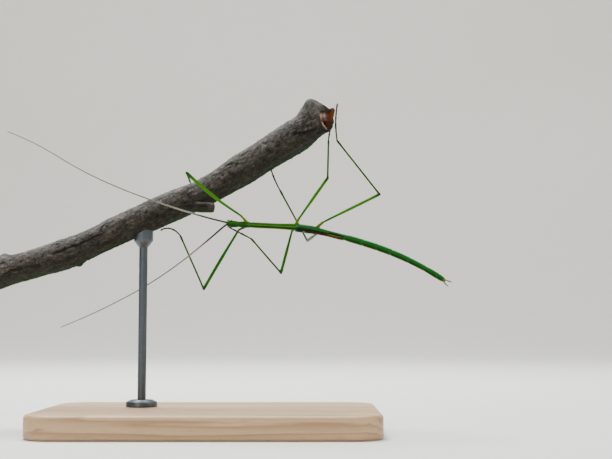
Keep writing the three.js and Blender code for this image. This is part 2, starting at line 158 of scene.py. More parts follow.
# Legs: where each pair leaves the body's line, how far its hips stand out and towards
# the belly, the lengths of femur, tibia and foot, and the radii of coxa and femur.
LEG_PAIRS = {
    "front": {"station": 7.4, "out": 2.95, "drop": 1.1, "femur": 25, "tibia": 22, "foot": 9.8,
              "coxa_radius": 0.48, "femur_radius": 0.59},
    "middle": {"station": 24, "out": 2.7, "drop": 1.8, "femur": 17.5, "tibia": 16.5, "foot": 9,
               "coxa_radius": 0.55, "femur_radius": 0.56},
    "hind": {"station": 31.2, "out": 2.7, "drop": 1.8, "femur": 23.8, "tibia": 24.5, "foot": 13.6,
             "coxa_radius": 0.57, "femur_radius": 0.57},
}
# Each leg: its side, how far its hip stands towards the head, how far its femur bows, and
# the headings of its pieces as (azimuth, elevation), at both ends of the foot.
LEGS = (
    {"name": "right_front", "pair": "front", "side": 1, "forward": 2.6, "bow": 0.66,
     "femur": (-148, 32.7), "tibia": (92.9, -0.3), "foot": ((80, -18), (80, -95))},
    {"name": "left_front", "pair": "front", "side": -1, "forward": 3.2, "bow": -0.15,
     "femur": (153.1, -55.2), "tibia": (150.2, 61.7), "foot": ((222, 46), (230, -28))},
    {"name": "right_middle", "pair": "middle", "side": 1, "forward": -1.2, "bow": 0,
     "femur": (5.6, 54.9), "tibia": (86.7, 61.4), "foot": ((88, 36), (60, 85))},
    {"name": "left_middle", "pair": "middle", "side": -1, "forward": 1, "bow": 0,
     "femur": (114, -55.2), "tibia": (-155.7, 46.1), "foot": ((-158, 26), (-193, 28))},
    {"name": "right_hind", "pair": "hind", "side": 1, "forward": -2, "bow": 0,
     "femur": (17.7, 26.5), "tibia": (-178.1, 51.9), "foot": ((150, 82), (20, 81))},
    {"name": "left_hind", "pair": "hind", "side": -1, "forward": -0.5, "bow": 0,
     "femur": (97.3, -1), "tibia": (-124.4, 44.4), "foot": ((182, 62), (100, 72))},
)
HIP_ROOT = {"out": 0.5, "drop": 0.3}
TIBIA_RADIUS = 0.39
FOOT_RADIUS = 0.34
FOOT_GAP = 0.3
KNEE_RADIUS = 0.48
ANKLE_RADIUS = 0.35
BODY_SIDES = 28
LIMB_SIDES = 14
GUIDE_STEP = 0.3

# Thickness along a leg's pieces, as shares of their length and radius.
COXA_SHAPE = ((0, 0.75), (0.12, 1), (0.55, 1), (0.68, 0.74), (0.8, 0.92), (1, 0.85))
FEMUR_SHAPE = ((0, 0.62), (0.03, 0.68), (0.25, 0.8), (0.5, 1), (0.85, 0.96), (0.95, 1.0), (1, 0.85))
TIBIA_SHAPE = ((0, 1.1), (0.05, 1.0), (0.12, 0.92), (0.88, 0.9), (0.96, 1.1), (1, 0.95))
FOOT_JOINTS = (0, 0.46, 0.64, 0.76, 0.84, 1)
CLASPER_SHAPE = ((0, 0.7), (0.2, 0.95), (0.6, 1), (0.85, 0.75), (0.96, 0.45), (1, 0.2))
CLAW_RADII = ((0, 0.09), (0.15, 0.11), (0.4, 0.08), (0.65, 0.045), (0.75, 0.012))
PAD_RADII = ((0, 0.08), (0.1, 0.15), (0.3, 0.17), (0.42, 0.1), (0.46, 0.03))

# ------------------------------------------------------------------ the branch's sizes

BRANCH_START = (-81, 8.5, 53.6)
BRANCH_LENGTH = 139
BRANCH_HEADINGS = (
    (0, 0, 15.6),
    (26, 0, 17.3),
    (42, 0, 26.3),
    (78, 0, 22.8),
    (92, 0, 32.7),
    (128, 0, 31.5),
    (139, 0, 5),
)
BRANCH_RADII = (
    (0, 5.9),
    (11, 5.2),
    (19, 5.2),
    (29, 5.6),
    (36, 5.2),
    (44, 5.05),
    (63, 5.6),
    (72, 5.5),
    (80, 5.1),
    (92, 5.3),
    (99, 6),
    (107, 5.8),
    (121, 6.2),
    (125, 5.9),
    (129, 4.9),
    (133, 4.3),
    (139, 3.3),
)
BRANCH_MEAN_RADIUS = 5.5
BRANCH_SIDES = 132
BARK_STEP = 0.33
KNOB_START = 119
KNOB_STEP = 0.22
SAWN_RINGS = 14
TORN_RINGS = 26
# Swellings: along the branch, round it from its top, height, and reach along and round.
SWELLINGS = (
    (131.8, 0, 5.2, 3.2, 50),
    (127.8, 0, 0.8, 2, 60),
    (33, 180, 0.95, 1.2, 24),
    (8.3, 0, 1.2, 1.8, 40),
    (47.5, -60, 0.4, 2.4, 70),
    (138.5, 42, 2.8, 2.5, 20),
)
# Cracks: from and to along the branch, round it at each end, depth and half width.
CRACKS = (
    (25.7, 46, -79, -80, 0.75, 3.4),
    (44, 47.5, -76, -40, 0.5, 4),
    (47.5, 49, -65, -112, 0.35, 5),
    (63, 71, -112, -108, 0.35, 2.6),
    (88, 91.5, -48, -60, 0.3, 3),
    (95, 98.5, -46, -62, 0.5, 4.5),
    (98, 101, -66, -84, 0.3, 4),
    (106, 109, -58, -64, 0.25, 3),
    (113, 116, -92, -96, 0.3, 3.4),
    (121, 130, -88, -118, 0.65, 5),
    (125, 129.5, -47, -52, 0.3, 2.6),
    (8, 15, -100, -96, 0.3, 2.6),
)
# The torn window in the break's face, as (across, up) points round it, its right edge,
# and the pale curl of wood across its lower corner.
WINDOW = (
    (-4.65, 2.45), (-3.84, 2.94), (-1.2, 3.3), (1.5, 3.8), (4.25, 4.95), (4.9, 4.9), (4.8, 2.9),
    (4.2, 0.8), (3.1, -1.0), (1.8, -2.5), (0.8, -3.65), (-1.2, -3.8), (-2.85, -3.0), (-3.85, -1.7),
    (-4.45, -0.35), (-4.85, 1.05),
)
WINDOW_RIGHT = WINDOW[5:11]
CURL = ((-3.7, -0.8), (-2.5, -2.05), (-0.25, -3.2))
BREAK = {"point": (40.6, 8.5, 110.4), "azimuth": -34, "elevation": 2}
BREAK_MARGIN = 6
BREAK_HALVINGS = 22
HOLLOW = {"across": -0.35, "up": -1.15, "radius": 0.85, "depth": 2.3}
STUB_START = (-11.5, 5.5, 78.2)
STUB_HEADINGS = ((0, -14, 4), (12, -6, -6))
STUB_LENGTH = 12.2
STUB_RADII = ((0, 1.4), (6, 1.9), (11, 1.75), (12.2, 1.45))
STUB_PIT = {"radius": 0.95, "depth": 1.6}

# --------------------------------------------------------- the stand's and studio's sizes

STAND_X = -25
STAND_Y = 8.5
SOFT_EDGE = 1.2
FLANGE_HEIGHT = 2.5
FLANGE_RADII = ((0, 5.3), (0.2, 5.5), (1.4, 5.5), (1.8, 5.3), (2.3, 4.2), (2.5, 3.9))
SADDLE_FOOT = 64.5
SADDLE_RADII = ((0, 1.7), (0.15, 1.9), (2, 3.3), (2.3, 3.4), (6, 3.4))
SADDLE_GAP = 0.15

# The studio is in metres. The floor's sweep: height and radius.
SWEEP = ((0, 0.9), (0.004, 1.05), (0.03, 1.2), (0.1, 1.34), (0.22, 1.44), (0.4, 1.5), (2.2, 1.55))
# Lights: name, place, aim, size, the setting of the power with a share of it, and colour.
LIGHTS = (
    ("Key", (-0.1, 0.2, 0.75), (0, 0, 0.07), 0.5, "key", 1, (0.92, 0.96, 1.0)),
    ("Fill", (-0.35, -0.8, 0.45), (0, 0, 0.08), 0.6, "fill", 1, (1.0, 0.98, 0.95)),
    ("Side", (0.8, -0.2, 0.5), (0, 0, 0.08), 0.5, "fill", 0.6, (1.0, 1.0, 1.0)),
    ("Backdrop", (0, 0.45, 0.75), (0, 1.4, 0.25), 0.7, "backdrop", 1, (1.0, 1.0, 1.0)),
)
SKY = {"shade": (0.9, 0.93, 1.0, 1), "strength": 0.27}
CAMERA = {"place": (0.033, -0.398478, 0.035138), "tilt": 95, "sensor": 36, "near": 0.01}

# ------------------------------------------------------------------------ fixed colours

BLACK = (0, 0, 0)
FEELER_PINK = (0.35, 0.3, 0.28)
HORN_YELLOW = (0.4, 0.35, 0.05)
FLANK_SKY_SHEEN = (0.1, 0.32, 0.16)
LOWER_SIDE_SHADE = (0.09, 0.075, 0.012)
CHEEK_GREEN = (0.06, 0.12, 0.005)
BROW_GREEN = (0.12, 0.26, 0.06)
FOOT_BROWN = (0.03, 0.02, 0.005)
WING_BLACK = (0.0015, 0.004, 0.003)
WING_LINE = (0.24, 0.24, 0.008)
SHADED_WING_OLIVE = (0.012, 0.02, 0.003)
WING_DEEP = (0.01, 0.12, 0.01)
WING_SKY_SHEEN = (0.04, 0.22, 0.13)
TEGMEN_OUTER = (0.05, 0.2, 0.09)
TEGMEN_GLINT = (0.3, 0.3, 0.1)
TEGMEN_FRONT_HIGHLIGHT = (0.1, 0.24, 0.09)
BARK_PLUM = (0.07, 0.045, 0.045)
BARK_SHADOW = (0.012, 0.014, 0.007)
TORN_DARK = (0.012, 0.005, 0.003)
TORN_RED = (0.11, 0.032, 0.022)
TORN_PINK = (0.2, 0.075, 0.06)
TORN_GOLD = (0.19, 0.066, 0.008)
TORN_GOLD_LOW = (0.055, 0.022, 0.006)
TORN_RIM = (0.03, 0.014, 0.004)
HOLLOW_BLACK = (0.002, 0.0015, 0.001)
STUB_RIM = (0.12, 0.055, 0.035)
STUB_RIM_DARK = (0.045, 0.022, 0.015)
STUB_PIT_BLACK = (0.004, 0.003, 0.003)


# ----------------------------------------------------------------------------- settings

def linear(hexcode):
    """The scene colour of a colour written as six hex digits."""
    shares = [int(hexcode[place:place + 2], 16) / 255 for place in (0, 2, 4)]
    return tuple(s / 12.92 if s <= 0.04045 else ((s + 0.055) / 1.055) ** 2.4 for s in shares)


def colour(name, hexcode, description):
    """A colour property of the sidebar."""
    return bpy.props.FloatVectorProperty(
        name=name, description=description, subtype="COLOR", size=3,
        min=0, max=1, default=linear(hexcode),
    )


def length(name, millimetres, description):
    """A length property of the sidebar, in metres."""
    return bpy.props.FloatProperty(
        name=name, description=description, unit="LENGTH", precision=5,
        min=0, default=millimetres * MM,
    )


class InsectSettings(bpy.types.PropertyGroup):
    """Sizes and colours of the insect."""

    skin_step: length("Skin Step", 0.15, "Size of the cells that join body and legs into one skin")
    feeler_root: length("Feeler Root", 0.68, "Thickness of a feeler near the head")
    feeler_tip: length("Feeler Tip", 0.34, "Thickness of a feeler at its tip")
    wing_sheet: length("Wing Sheet", 0.1, "Thickness of the wings")
    thorax: colour("Thorax", "245604", "Colour of the thorax")
    thorax_stripe: colour(
        "Thorax Stripe", "3f7d02", "Colour of the light stripes beside the back's midline"
    )
    head: colour("Head", "124a04", "Colour of the head")
    abdomen: colour("Abdomen", "0c4c05", "Colour of the abdomen")
    flank: colour("Flanks", "1f6a2b", "Colour of the abdomen's sides")
    midline: colour("Midline", "071102", "Colour of the dark line down the back")
    belly: colour("Belly", "2f3a0c", "Colour of the belly and the line along the sides")
    leg: colour("Legs", "1d5a04", "Colour of the femora")
    shin: colour("Shins", "254a05", "Colour of the tibiae")
    foot: colour("Feet", "1c2e0c", "Colour of the feet")
    hip: colour("Hips", "5d6c04", "Colour of the coxae")
    tip: colour("Tail Tip", "6a6208", "Colour of the last segment")
    wing: colour("Wings", "0c5418", "Colour of the wings")
    fold: colour("Wing Fold", "3d1a0c", "Colour of the folded part of the hind wings")
    eye: colour("Eyes", "050403", "Colour of the eyes")
    horn: colour("Claws", "4a2c14", "Colour of claws and claspers")
    feeler: colour("Feelers", "161d05", "Colour of the feelers near the head")
    feeler_end: colour("Feeler Ends", "5f6152", "Colour of the feelers towards their tips")


class BranchSettings(bpy.types.PropertyGroup):
    """Sizes and colours of the branch."""

    relief: bpy.props.FloatProperty(
        name="Bark Relief", description="Height of the bark's ridges; 0 makes the bark smooth",
        min=0, max=3, default=1,
    )
    bark: colour("Bark", "48413b", "Main colour of the bark")
    bark_dark: colour("Cracks", "120f0d", "Colour of the bark's cracks")
    # The pale colour of the bark's grain, and of the painted highlight on the branch's top.
    bark_pale: colour("Weathered Bark", "7b7873", "Colour of the highlighted upper side")
    lichen: colour("Lichen", "585f4e", "Colour of the lichen patches")
    algae: colour("Algae", "06290a", "Colour of the green film below and on the knob")
    torn: colour("Torn Wood", "41180e", "Colour of the torn wood")
    torn_pale: colour("Fresh Wood", "a8927e", "Colour of the pale patches of torn wood")


class StandSettings(bpy.types.PropertyGroup):
    """Sizes and colours of the stand."""

    base_length: length("Base Length", 116, "Length of the wooden base")
    base_width: length("Base Width", 72, "Width of the wooden base")
    base_height: length("Base Height", 8, "Height of the wooden base")
    corner: length("Base Corner", 10, "Radius of the base's corners")
    rod: length("Rod Radius", 1.5, "Radius of the steel rod")
    wood: colour("Wood", "c2a079", "Colour of the base's wood")
    grain: colour("Grain", "8c6642", "Colour of the wood's grain")
    steel: colour("Steel", "54595e", "Colour of the steel")


class StudioSettings(bpy.types.PropertyGroup):
    """The studio: floor, lights and camera."""

    floor: colour("Floor", "dedcd6", "Colour of the floor")
    key: bpy.props.FloatProperty(
        name="Key Light", description="Power of the light above, in watts", min=0, default=17,
    )
    fill: bpy.props.FloatProperty(
        name="Fill Light", description="Power of the light in front, in watts", min=0, default=3,
    )
    backdrop: bpy.props.FloatProperty(
        name="Backdrop Light", description="Power of the light on the backdrop, in watts",
        min=0, default=9,
    )
    lens: bpy.props.FloatProperty(
        name="Lens", description="Focal length of the camera, in millimetres", min=1, default=67.23,
    )


def insect_settings():
    return bpy.context.scene.stick_insect


def branch_settings():
    return bpy.context.scene.stick_insect_branch


def stand_settings():
    return bpy.context.scene.stick_insect_stand


def studio_settings():
    return bpy.context.scene.stick_insect_studio


# ------------------------------------------------------------------------------- paths

def value_at(rows, distance, column=1):
    """The value at a distance in rows of (distance, value, ...), held at the ends."""
    if distance <= rows[0][0]:
        return rows[0][column]
    for before, after in zip(rows, rows[1:]):
        if distance < after[0]:
            share = (distance - before[0]) / (after[0] - before[0])
            return before[column] + (after[column] - before[column]) * share
    return rows[-1][column]


def smooth_value_at(rows, distance):
    """The same as value_at, eased through each row."""
    reach = 0.35
    return sum(value_at(rows, distance + step * reach) for step in (-1, 0, 1)) / 3


def heading(azimuth, elevation):
    """The direction of an azimuth and an elevation in degrees."""
    around = math.radians(azimuth)
    rise = math.radians(elevation)
    flat = math.cos(rise)
    return Vector((flat * math.cos(around), flat * math.sin(around), math.sin(rise)))


class Path:
    """A line that turns evenly from heading to heading, with a frame at each distance.

    A frame is a point and the directions along, side and under.
    """

    STEP = 0.25

    def __init__(self, start, headings, length, roll=0):
        self.headings = headings
        self.length = length
        self.roll = math.radians(roll)
        self.frames = {}
        count = math.ceil(length / self.STEP)
        self.step = length / count
        self.points = [Vector(start)]
        for index in range(count):
            ahead = self.heading_at((index + 0.5) * self.step)
            self.points.append(self.points[-1] + ahead * self.step)

    def heading_at(self, distance):
        return heading(
            value_at(self.headings, distance), value_at(self.headings, distance, 2)
        )

    def at(self, distance):
        key = round(distance, 4)
        if key not in self.frames:
            self.frames[key] = self.frame(distance)
        return self.frames[key]

    def frame(self, distance):
        inside = min(max(distance, 0), self.length)
        index = min(int(inside / self.step), len(self.points) - 2)
        point = self.points[index].lerp(self.points[index + 1], inside / self.step - index)
        along = self.heading_at(inside)
        point = point + along * (distance - inside)
        side = UP.cross(along).normalized()
        under = side.cross(along).normalized()
        turn = Matrix.Rotation(self.roll, 3, along)
        return point, along, turn @ side, turn @ under


class Line(Path):
    """A straight path, which may bow towards its under side."""

    def __init__(self, start, direction, length, bow=0):
        self.origin = Vector(start)
        self.direction = direction.normalized()
        self.length = length
        self.bow = bow
        self.frames = {}

    def frame(self, distance):
        side = UP.cross(self.direction).normalized()
        under = side.cross(self.direction).normalized()
        share = min(max(distance / self.length, 0), 1)
        point = self.origin + self.direction * distance
        point = point + under * self.bow * math.sin(math.pi * share)
        return point, self.direction, side, under


def between(root, tip, bow=0):
    """The straight path from one point to another."""
    return Line(root, tip - root, (tip - root).length, bow)


body_path = Path(BODY_START, BODY_HEADINGS, BODY_END, BODY_ROLL)
branch_path = Path(BRANCH_START, BRANCH_HEADINGS, BRANCH_LENGTH)
stub_path = Path(STUB_START, STUB_HEADINGS, STUB_LENGTH)


def body_point(station, forward, out, drop):
    """A point beside the body's line: forward, to one side and towards the belly."""
    point, along, side, under = body_path.at(station)
    return point - along * forward + side * out + under * drop


# ------------------------------------------------------------------------ making forms

def object_mode():
    if bpy.context.object and bpy.context.object.mode != "OBJECT":
        bpy.ops.object.mode_set(mode="OBJECT")


def select_only(*objects):
    """Selects these objects and makes the first one active."""
    object_mode()
    bpy.ops.object.select_all(action="DESELECT")
    for item in objects:
        item.select_set(True)
    bpy.context.view_layer.objects.active = objects[0]


def start_primitive(add, name, **options):
    """Adds a primitive with nothing else selected, and opens it in edit mode."""
    object_mode()
    bpy.ops.object.select_all(action="DESELECT")
    add(**options)
    made = bpy.context.object
    made.name = name
    made.data.name = name
    bpy.ops.object.mode_set(mode="EDIT")
    bpy.ops.mesh.select_all(action="SELECT")
    return made


def turned(name, rows, sides):
    """A closed round form along +Z: its outline is drawn point by point and spun."""
    made = start_primitive(bpy.ops.mesh.primitive_plane_add, name, size=1)
    bpy.ops.mesh.select_mode(type="VERT")
    bpy.ops.mesh.merge(type="CENTER")
    outline = [(rows[0][0], 0), *rows, (rows[-1][0], 0)]
    here = Vector((0, 0, 0))
    there = Vector((0, 0, outline[0][0]))
    bpy.ops.transform.translate(value=there)
    here = there
    for distance, radius in outline[1:]:
        there = Vector((radius, 0, distance))
        bpy.ops.mesh.extrude_vertices_move(TRANSFORM_OT_translate={"value": there - here})
        here = there
    bpy.ops.mesh.select_all(action="SELECT")
    bpy.ops.mesh.spin(steps=sides, angle=2 * math.pi, center=(0, 0, 0), axis=(0, 0, 1))
    bpy.ops.mesh.select_all(action="SELECT")
    bpy.ops.mesh.remove_doubles(threshold=1e-4)
    bpy.ops.mesh.normals_make_consistent(inside=False)
    object_mode()
    return made


def move_vertices(made, rule):
    """Moves every vertex to where the rule puts it."""
    for vertex in made.data.vertices:
        vertex.co = rule(vertex.co)
    made.data.update()


def lay(made, path, flatness=1, swell=None):
    """Lays a form that was made along +Z onto a path."""

    def place(co):
        point, _, side, under = path.at(co.z)
        factor = swell(co.z, math.atan2(co.x, -co.y)) if swell else 1
        return point + side * co.x * factor + under * co.y * flatness * factor

    move_vertices(made, place)
    return made


def edit_whole(made, tool, **options):
    """Runs an edit-mode tool on the whole of a form."""
    select_only(made)
    bpy.ops.object.mode_set(mode="EDIT")
    bpy.ops.mesh.select_all(action="SELECT")
    tool(**options)
    object_mode()


def pick_edges(made, rule):
    """Selects the edges whose rise suits the rule, in edit mode."""
    bpy.ops.mesh.select_mode(type="EDGE")
    bpy.ops.mesh.select_all(action="DESELECT")
    object_mode()
    for edge in made.data.edges:
        first, second = (made.data.vertices[index].co for index in edge.vertices)
        edge.select = rule(abs(first.z - second.z))
    bpy.ops.object.mode_set(mode="EDIT")


def modify(made, kind, **options):
    """Adds a modifier with these options and applies it."""
    select_only(made)
    bpy.ops.object.modifier_add(type=kind)
    modifier = made.modifiers[-1]
    for key, value in options.items():
        setattr(modifier, key, value)
    bpy.ops.object.modifier_apply(modifier=modifier.name)


def cut(made, cutter, operation="DIFFERENCE"):
    """Cuts or joins a second form, which is then removed."""
    modify(made, "BOOLEAN", operation=operation, solver="EXACT", object=cutter)
    bpy.data.objects.remove(cutter)


def joined(name, pieces):
    """Joins pieces into one object."""
    select_only(*pieces)
    bpy.ops.object.join()
    made = bpy.context.object
    made.name = name
    made.data.name = name
    return made


def finish_piece(made, name, material, nodes=(), angle=None):
    """Brings a piece to metres, gives it its finish and ties it to the frame."""
    made.name = name
    made.data.name = name
    made.data.transform(Matrix.Scale(MM, 4))
    made.data.materials.clear()
    made.data.materials.append(material)
    select_only(made)
    if angle is None:
        bpy.ops.object.shade_smooth()
    else:
        bpy.ops.object.shade_smooth_by_angle(angle=math.radians(angle))
    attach(made, "root")
    if nodes:
        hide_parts(*nodes)
    return made


FIELDS = {"FLOAT": "value", "FLOAT_VECTOR": "vector", "FLOAT_COLOR": "color"}


def write_attribute(made, name, kind, values):
    """Stores one value per vertex, for the piece's material."""
    layer = made.data.attributes.new(name, kind, "POINT")
    flat = values if kind == "FLOAT" else [number for value in values for number in value]
    layer.data.foreach_set(FIELDS[kind], flat)


def mix(first, second, share):
    """A colour between two colours."""
    share = min(max(share, 0), 1)
    return tuple(a + (b - a) * share for a, b in zip(first, second))


def layered(shade, *coats):
    """A colour with further colours laid over it, each with its share."""
    for coat, share in coats:
        shade = mix(shade, coat, share)
    return shade


def bell(distance, width):
    """1 at no distance, falling softly to 0 beyond the width."""
    return math.exp(-((distance / width) ** 2))


def step_up(value, low, high):
    """0 below low, 1 above high, and eased between them."""
    share = min(max((value - low) / (high - low), 0), 1)
    return share * share * (3 - 2 * share)


# --------------------------------------------------------------------------- materials

def add_node(tree, kind, inputs=None, **settings):
    """Adds a node; an input is given a value or linked to a socket."""
    made = tree.nodes.new(kind)
    for key, value in settings.items():
        setattr(made, key, value)
    for key, value in (inputs or {}).items():
        if isinstance(value, bpy.types.NodeSocket):
            tree.links.new(value, made.inputs[key])
        else:
            made.inputs[key].default_value = value
    return made


def ramp(tree, factor, stops):
    """A colour ramp through (place, colour) stops."""
    made = add_node(tree, "ShaderNodeValToRGB", {"Fac": factor})
    elements = made.color_ramp.elements
    while len(elements) < len(stops):
        elements.new(0.5)
    for element, (place, shade) in zip(elements, stops):
        element.position = place
        element.color = (*shade, 1)
    return made.outputs["Color"]


def blend(tree, factor, first, second, mode="MIX"):
    """Two colours mixed by a factor."""
    made = add_node(tree, "ShaderNodeMix", data_type="RGBA", blend_type=mode)
    for place, value in ((0, factor), (6, first), (7, second)):
        if isinstance(value, bpy.types.NodeSocket):
            tree.links.new(value, made.inputs[place])
        elif place == 0:
            made.inputs[place].default_value = value
        else:
            made.inputs[place].default_value = (*value, 1)
    return made.outputs[2]


def maths(tree, operation, first, second=0.0, clamp=False):
    made = add_node(
        tree, "ShaderNodeMath", {0: first, 1: second}, operation=operation, use_clamp=clamp
    )
    return made.outputs[0]


def weighted(tree, *terms):
    """The sum of values, each multiplied by its weight."""
    total = None
    for value, weight in terms:
        part = maths(tree, "MULTIPLY", value, weight)
        total = part if total is None else maths(tree, "ADD", total, part)
    return total


def scaled(tree, shade, factor):
    """A colour made lighter or darker by a factor."""
    made = add_node(
        tree, "ShaderNodeVectorMath", {0: shade, "Scale": factor}, operation="SCALE"
    )
    return made.outputs[0]


def spread(tree, value, low, high, to_low=0.0, to_high=1.0):
    """A value brought from one range to another."""
    made = add_node(tree, "ShaderNodeMapRange", {
        "Value": value, "From Min": low, "From Max": high, "To Min": to_low, "To Max": to_high,
    })
    return made.outputs[0]


def attribute(tree, name, output="Fac"):
    return add_node(tree, "ShaderNodeAttribute", attribute_name=name).outputs[output]


def in_millimetres(tree, stretch=(1, 1, 1)):
    """The piece's own coordinates in millimetres, stretched along its axes."""
    place = add_node(tree, "ShaderNodeTexCoord").outputs["Object"]
    scale = [share / MM for share in stretch]
    return add_node(tree, "ShaderNodeMapping", {"Vector": place, "Scale": scale}).outputs[0]


def texture(tree, vector, scale, detail=4.0, roughness=0.6, kind="ShaderNodeTexNoise"):
    inputs = {"Vector": vector, "Scale": scale}
    if kind == "ShaderNodeTexNoise":
        inputs.update({"Detail": detail, "Roughness": roughness})
    return add_node(tree, kind, inputs).outputs[0]


def new_material(name):
    made = bpy.data.materials.new(name)
    made.use_nodes = True
    tree = made.node_tree
    tree.nodes.clear()
    shader = add_node(tree, "ShaderNodeBsdfPrincipled")
    output = add_node(tree, "ShaderNodeOutputMaterial")
    tree.links.new(shader.outputs[0], output.inputs["Surface"])
    return made, tree, shader


def wire(tree, shader, **inputs):
    """Feeds the shader's sockets, named with underscores."""
    for key, value in inputs.items():
        socket = shader.inputs[key.replace("_", " ")]
        if isinstance(value, bpy.types.NodeSocket):
            tree.links.new(value, socket)
        elif isinstance(value, tuple):
            socket.default_value = (*value, 1)
        else:
            socket.default_value = value


def bump(tree, shader, height, distance, strength=1.0):
    """Relief of a given depth in millimetres, from a height between 0 and 1."""
    made = add_node(tree, "ShaderNodeBump", {
        "Height": height, "Distance": distance * MM, "Strength": strength,
    })
    tree.links.new(made.outputs[0], shader.inputs["Normal"])


def mottle_group():
    """A shared group: a colour broken up by soft blotches and fine specks."""
    name = "Mottling"
    if name in bpy.data.node_groups:
        return bpy.data.node_groups[name]
    tree = bpy.data.node_groups.new(name, "ShaderNodeTree")
    for socket, kind, value in (
        ("Color", "NodeSocketColor", (0.5, 0.5, 0.5, 1)),
        ("Vector", "NodeSocketVector", None),
        ("Blotch Scale", "NodeSocketFloat", 1.0),
        ("Speck Scale", "NodeSocketFloat", 8.0),
        ("Amount", "NodeSocketFloat", 0.3),
    ):
        made = tree.interface.new_socket(socket, in_out="INPUT", socket_type=kind)
        if value is not None:
            made.default_value = value
    for socket, kind in (("Color", "NodeSocketColor"), ("Height", "NodeSocketFloat")):
        tree.interface.new_socket(socket, in_out="OUTPUT", socket_type=kind)
    given = add_node(tree, "NodeGroupInput").outputs
    result = add_node(tree, "NodeGroupOutput")
    blotches = texture(tree, given["Vector"], given["Blotch Scale"], 3.0, 0.55)
    specks = texture(tree, given["Vector"], given["Speck Scale"], 2.0, 0.5)
    both = weighted(tree, (blotches, 0.65), (specks, 0.35))
    centred = maths(tree, "MULTIPLY", maths(tree, "SUBTRACT", both, 0.5), given["Amount"])
    factor = maths(tree, "ADD", maths(tree, "MULTIPLY", centred, 4.0), 1.0)
    tree.links.new(scaled(tree, given["Color"], factor), result.inputs["Color"])
    tree.links.new(specks, result.inputs["Height"])
    return tree


def mottled(tree, shade, vector, blotch, speck, amount):
    """Adds the mottling group; gives its colour and its height."""
    made = add_node(tree, "ShaderNodeGroup", node_tree=mottle_group())
    for key, value in (("Color", shade), ("Vector", vector), ("Blotch Scale", blotch),
                       ("Speck Scale", speck), ("Amount", amount)):
        if isinstance(value, bpy.types.NodeSocket):
            tree.links.new(value, made.inputs[key])
        else:
            made.inputs[key].default_value = (*value, 1) if isinstance(value, tuple) else value
    return made.outputs["Color"], made.outputs["Height"]


def skin_material():
    made, tree, shader = new_material("Insect Skin")
    place = in_millimetres(tree)
    tint, specks = mottled(tree, attribute(tree, "Tint", "Color"), place, 0.9, 7.0, 0.16)
    grain = texture(tree, place, 14.0, 2.0, 0.5)
    height = weighted(tree, (specks, 0.6), (grain, 0.4))
    wire(tree, shader, Base_Color=tint, Roughness=spread(tree, specks, 0.3, 0.7, 0.4, 0.56))
    shader.inputs["Specular IOR Level"].default_value = 0.08
    bump(tree, shader, height, 0.05)
    return made


def eye_material():
    made, tree, shader = new_material("Insect Eye")
    place = in_millimetres(tree)
    shade = insect_settings().eye
    facets = texture(tree, place, 11.0, kind="ShaderNodeTexVoronoi")
    glint = spread(tree, facets, 0.0, 0.7, 1.0, 0.0)
    darker, lighter = (tuple(share * factor for share in shade) for factor in (0.6, 1.7))
    base = blend(tree, glint, darker, lighter)
    wire(tree, shader, Base_Color=base, Roughness=spread(tree, facets, 0.0, 0.8, 0.3, 0.45))
    shader.inputs["Specular IOR Level"].default_value = 0.2
    bump(tree, shader, glint, 0.03)
    return made


def feeler_material():
    made, tree, shader = new_material("Insect Feeler")
    settings = insect_settings()
    place = in_millimetres(tree)
    share = attribute(tree, "Share")
    ring = attribute(tree, "Ring")
    near = tuple(settings.feeler)
    far = tuple(settings.feeler_end)
    plain = ramp(tree, share, (
        (0, near), (0.11, near), (0.17, mix(far, FEELER_PINK, 0.5)), (0.34, far),
        (1, mix(near, far, 0.8)),
    ))
    ringed = blend(tree, maths(tree, "MULTIPLY", ring, 0.5), plain, mix(near, BLACK, 0.5))
    tint, specks = mottled(tree, ringed, place, 0.5, 6.0, 0.2)
    wire(tree, shader, Base_Color=tint, Roughness=spread(tree, specks, 0.3, 0.7, 0.4, 0.6))
    bump(tree, shader, specks, 0.02)
    return made


def horn_material():
    made, tree, shader = new_material("Insect Horn")
    place = in_millimetres(tree)
    share = attribute(tree, "Share")
    shade = tuple(insect_settings().horn)
    root_to_tip = ramp(tree, share, (
        (0, mix(shade, HORN_YELLOW, 0.35)), (0.5, shade), (1, mix(shade, BLACK, 0.6)),
    ))
    tint, specks = mottled(tree, root_to_tip, place, 2.0, 12.0, 0.2)
    wire(tree, shader, Base_Color=tint, Roughness=spread(tree, specks, 0.3, 0.7, 0.25, 0.4))
    bump(tree, shader, specks, 0.02)
    return made


def wing_material():
    made, tree, shader = new_material("Insect Wing")
    place = in_millimetres(tree)
    across = attribute(tree, "Across")
    along = attribute(tree, "Along")
    wander = texture(tree, place, 0.7, 2.0, 0.5)
    lines = weighted(tree, (across, WING_VEINS), (wander, 0.7))
    veins = maths(tree, "ABSOLUTE", maths(tree, "SUBTRACT", maths(tree, "FRACT", lines), 0.5))
    long_veins = spread(tree, veins, 0.38, 0.48)
    cell = add_node(tree, "ShaderNodeCombineXYZ", {
        "X": maths(tree, "MULTIPLY", across, WING_VEINS),
        "Y": maths(tree, "MULTIPLY", along, WING_CELLS),
    }).outputs[0]
    cross = add_node(
        tree, "ShaderNodeTexVoronoi", {"Vector": cell, "Scale": 1.0}, feature="DISTANCE_TO_EDGE"
    ).outputs["Distance"]
    cross_veins = spread(tree, cross, 0.1, 0.02)
    net = maths(tree, "MAXIMUM", long_veins, maths(tree, "MULTIPLY", cross_veins, 0.6), True)
    tint, _ = mottled(tree, attribute(tree, "Tint", "Color"), place, 0.8, 7.0, 0.15)
    veined = blend(tree, maths(tree, "MULTIPLY", net, 0.5), tint, scaled(tree, tint, 1.7))
    wire(tree, shader, Base_Color=veined, Roughness=spread(tree, net, 0, 1, 0.34, 0.5))
    shader.inputs["Specular IOR Level"].default_value = 0.1
    bump(tree, shader, net, 0.06)
    return made


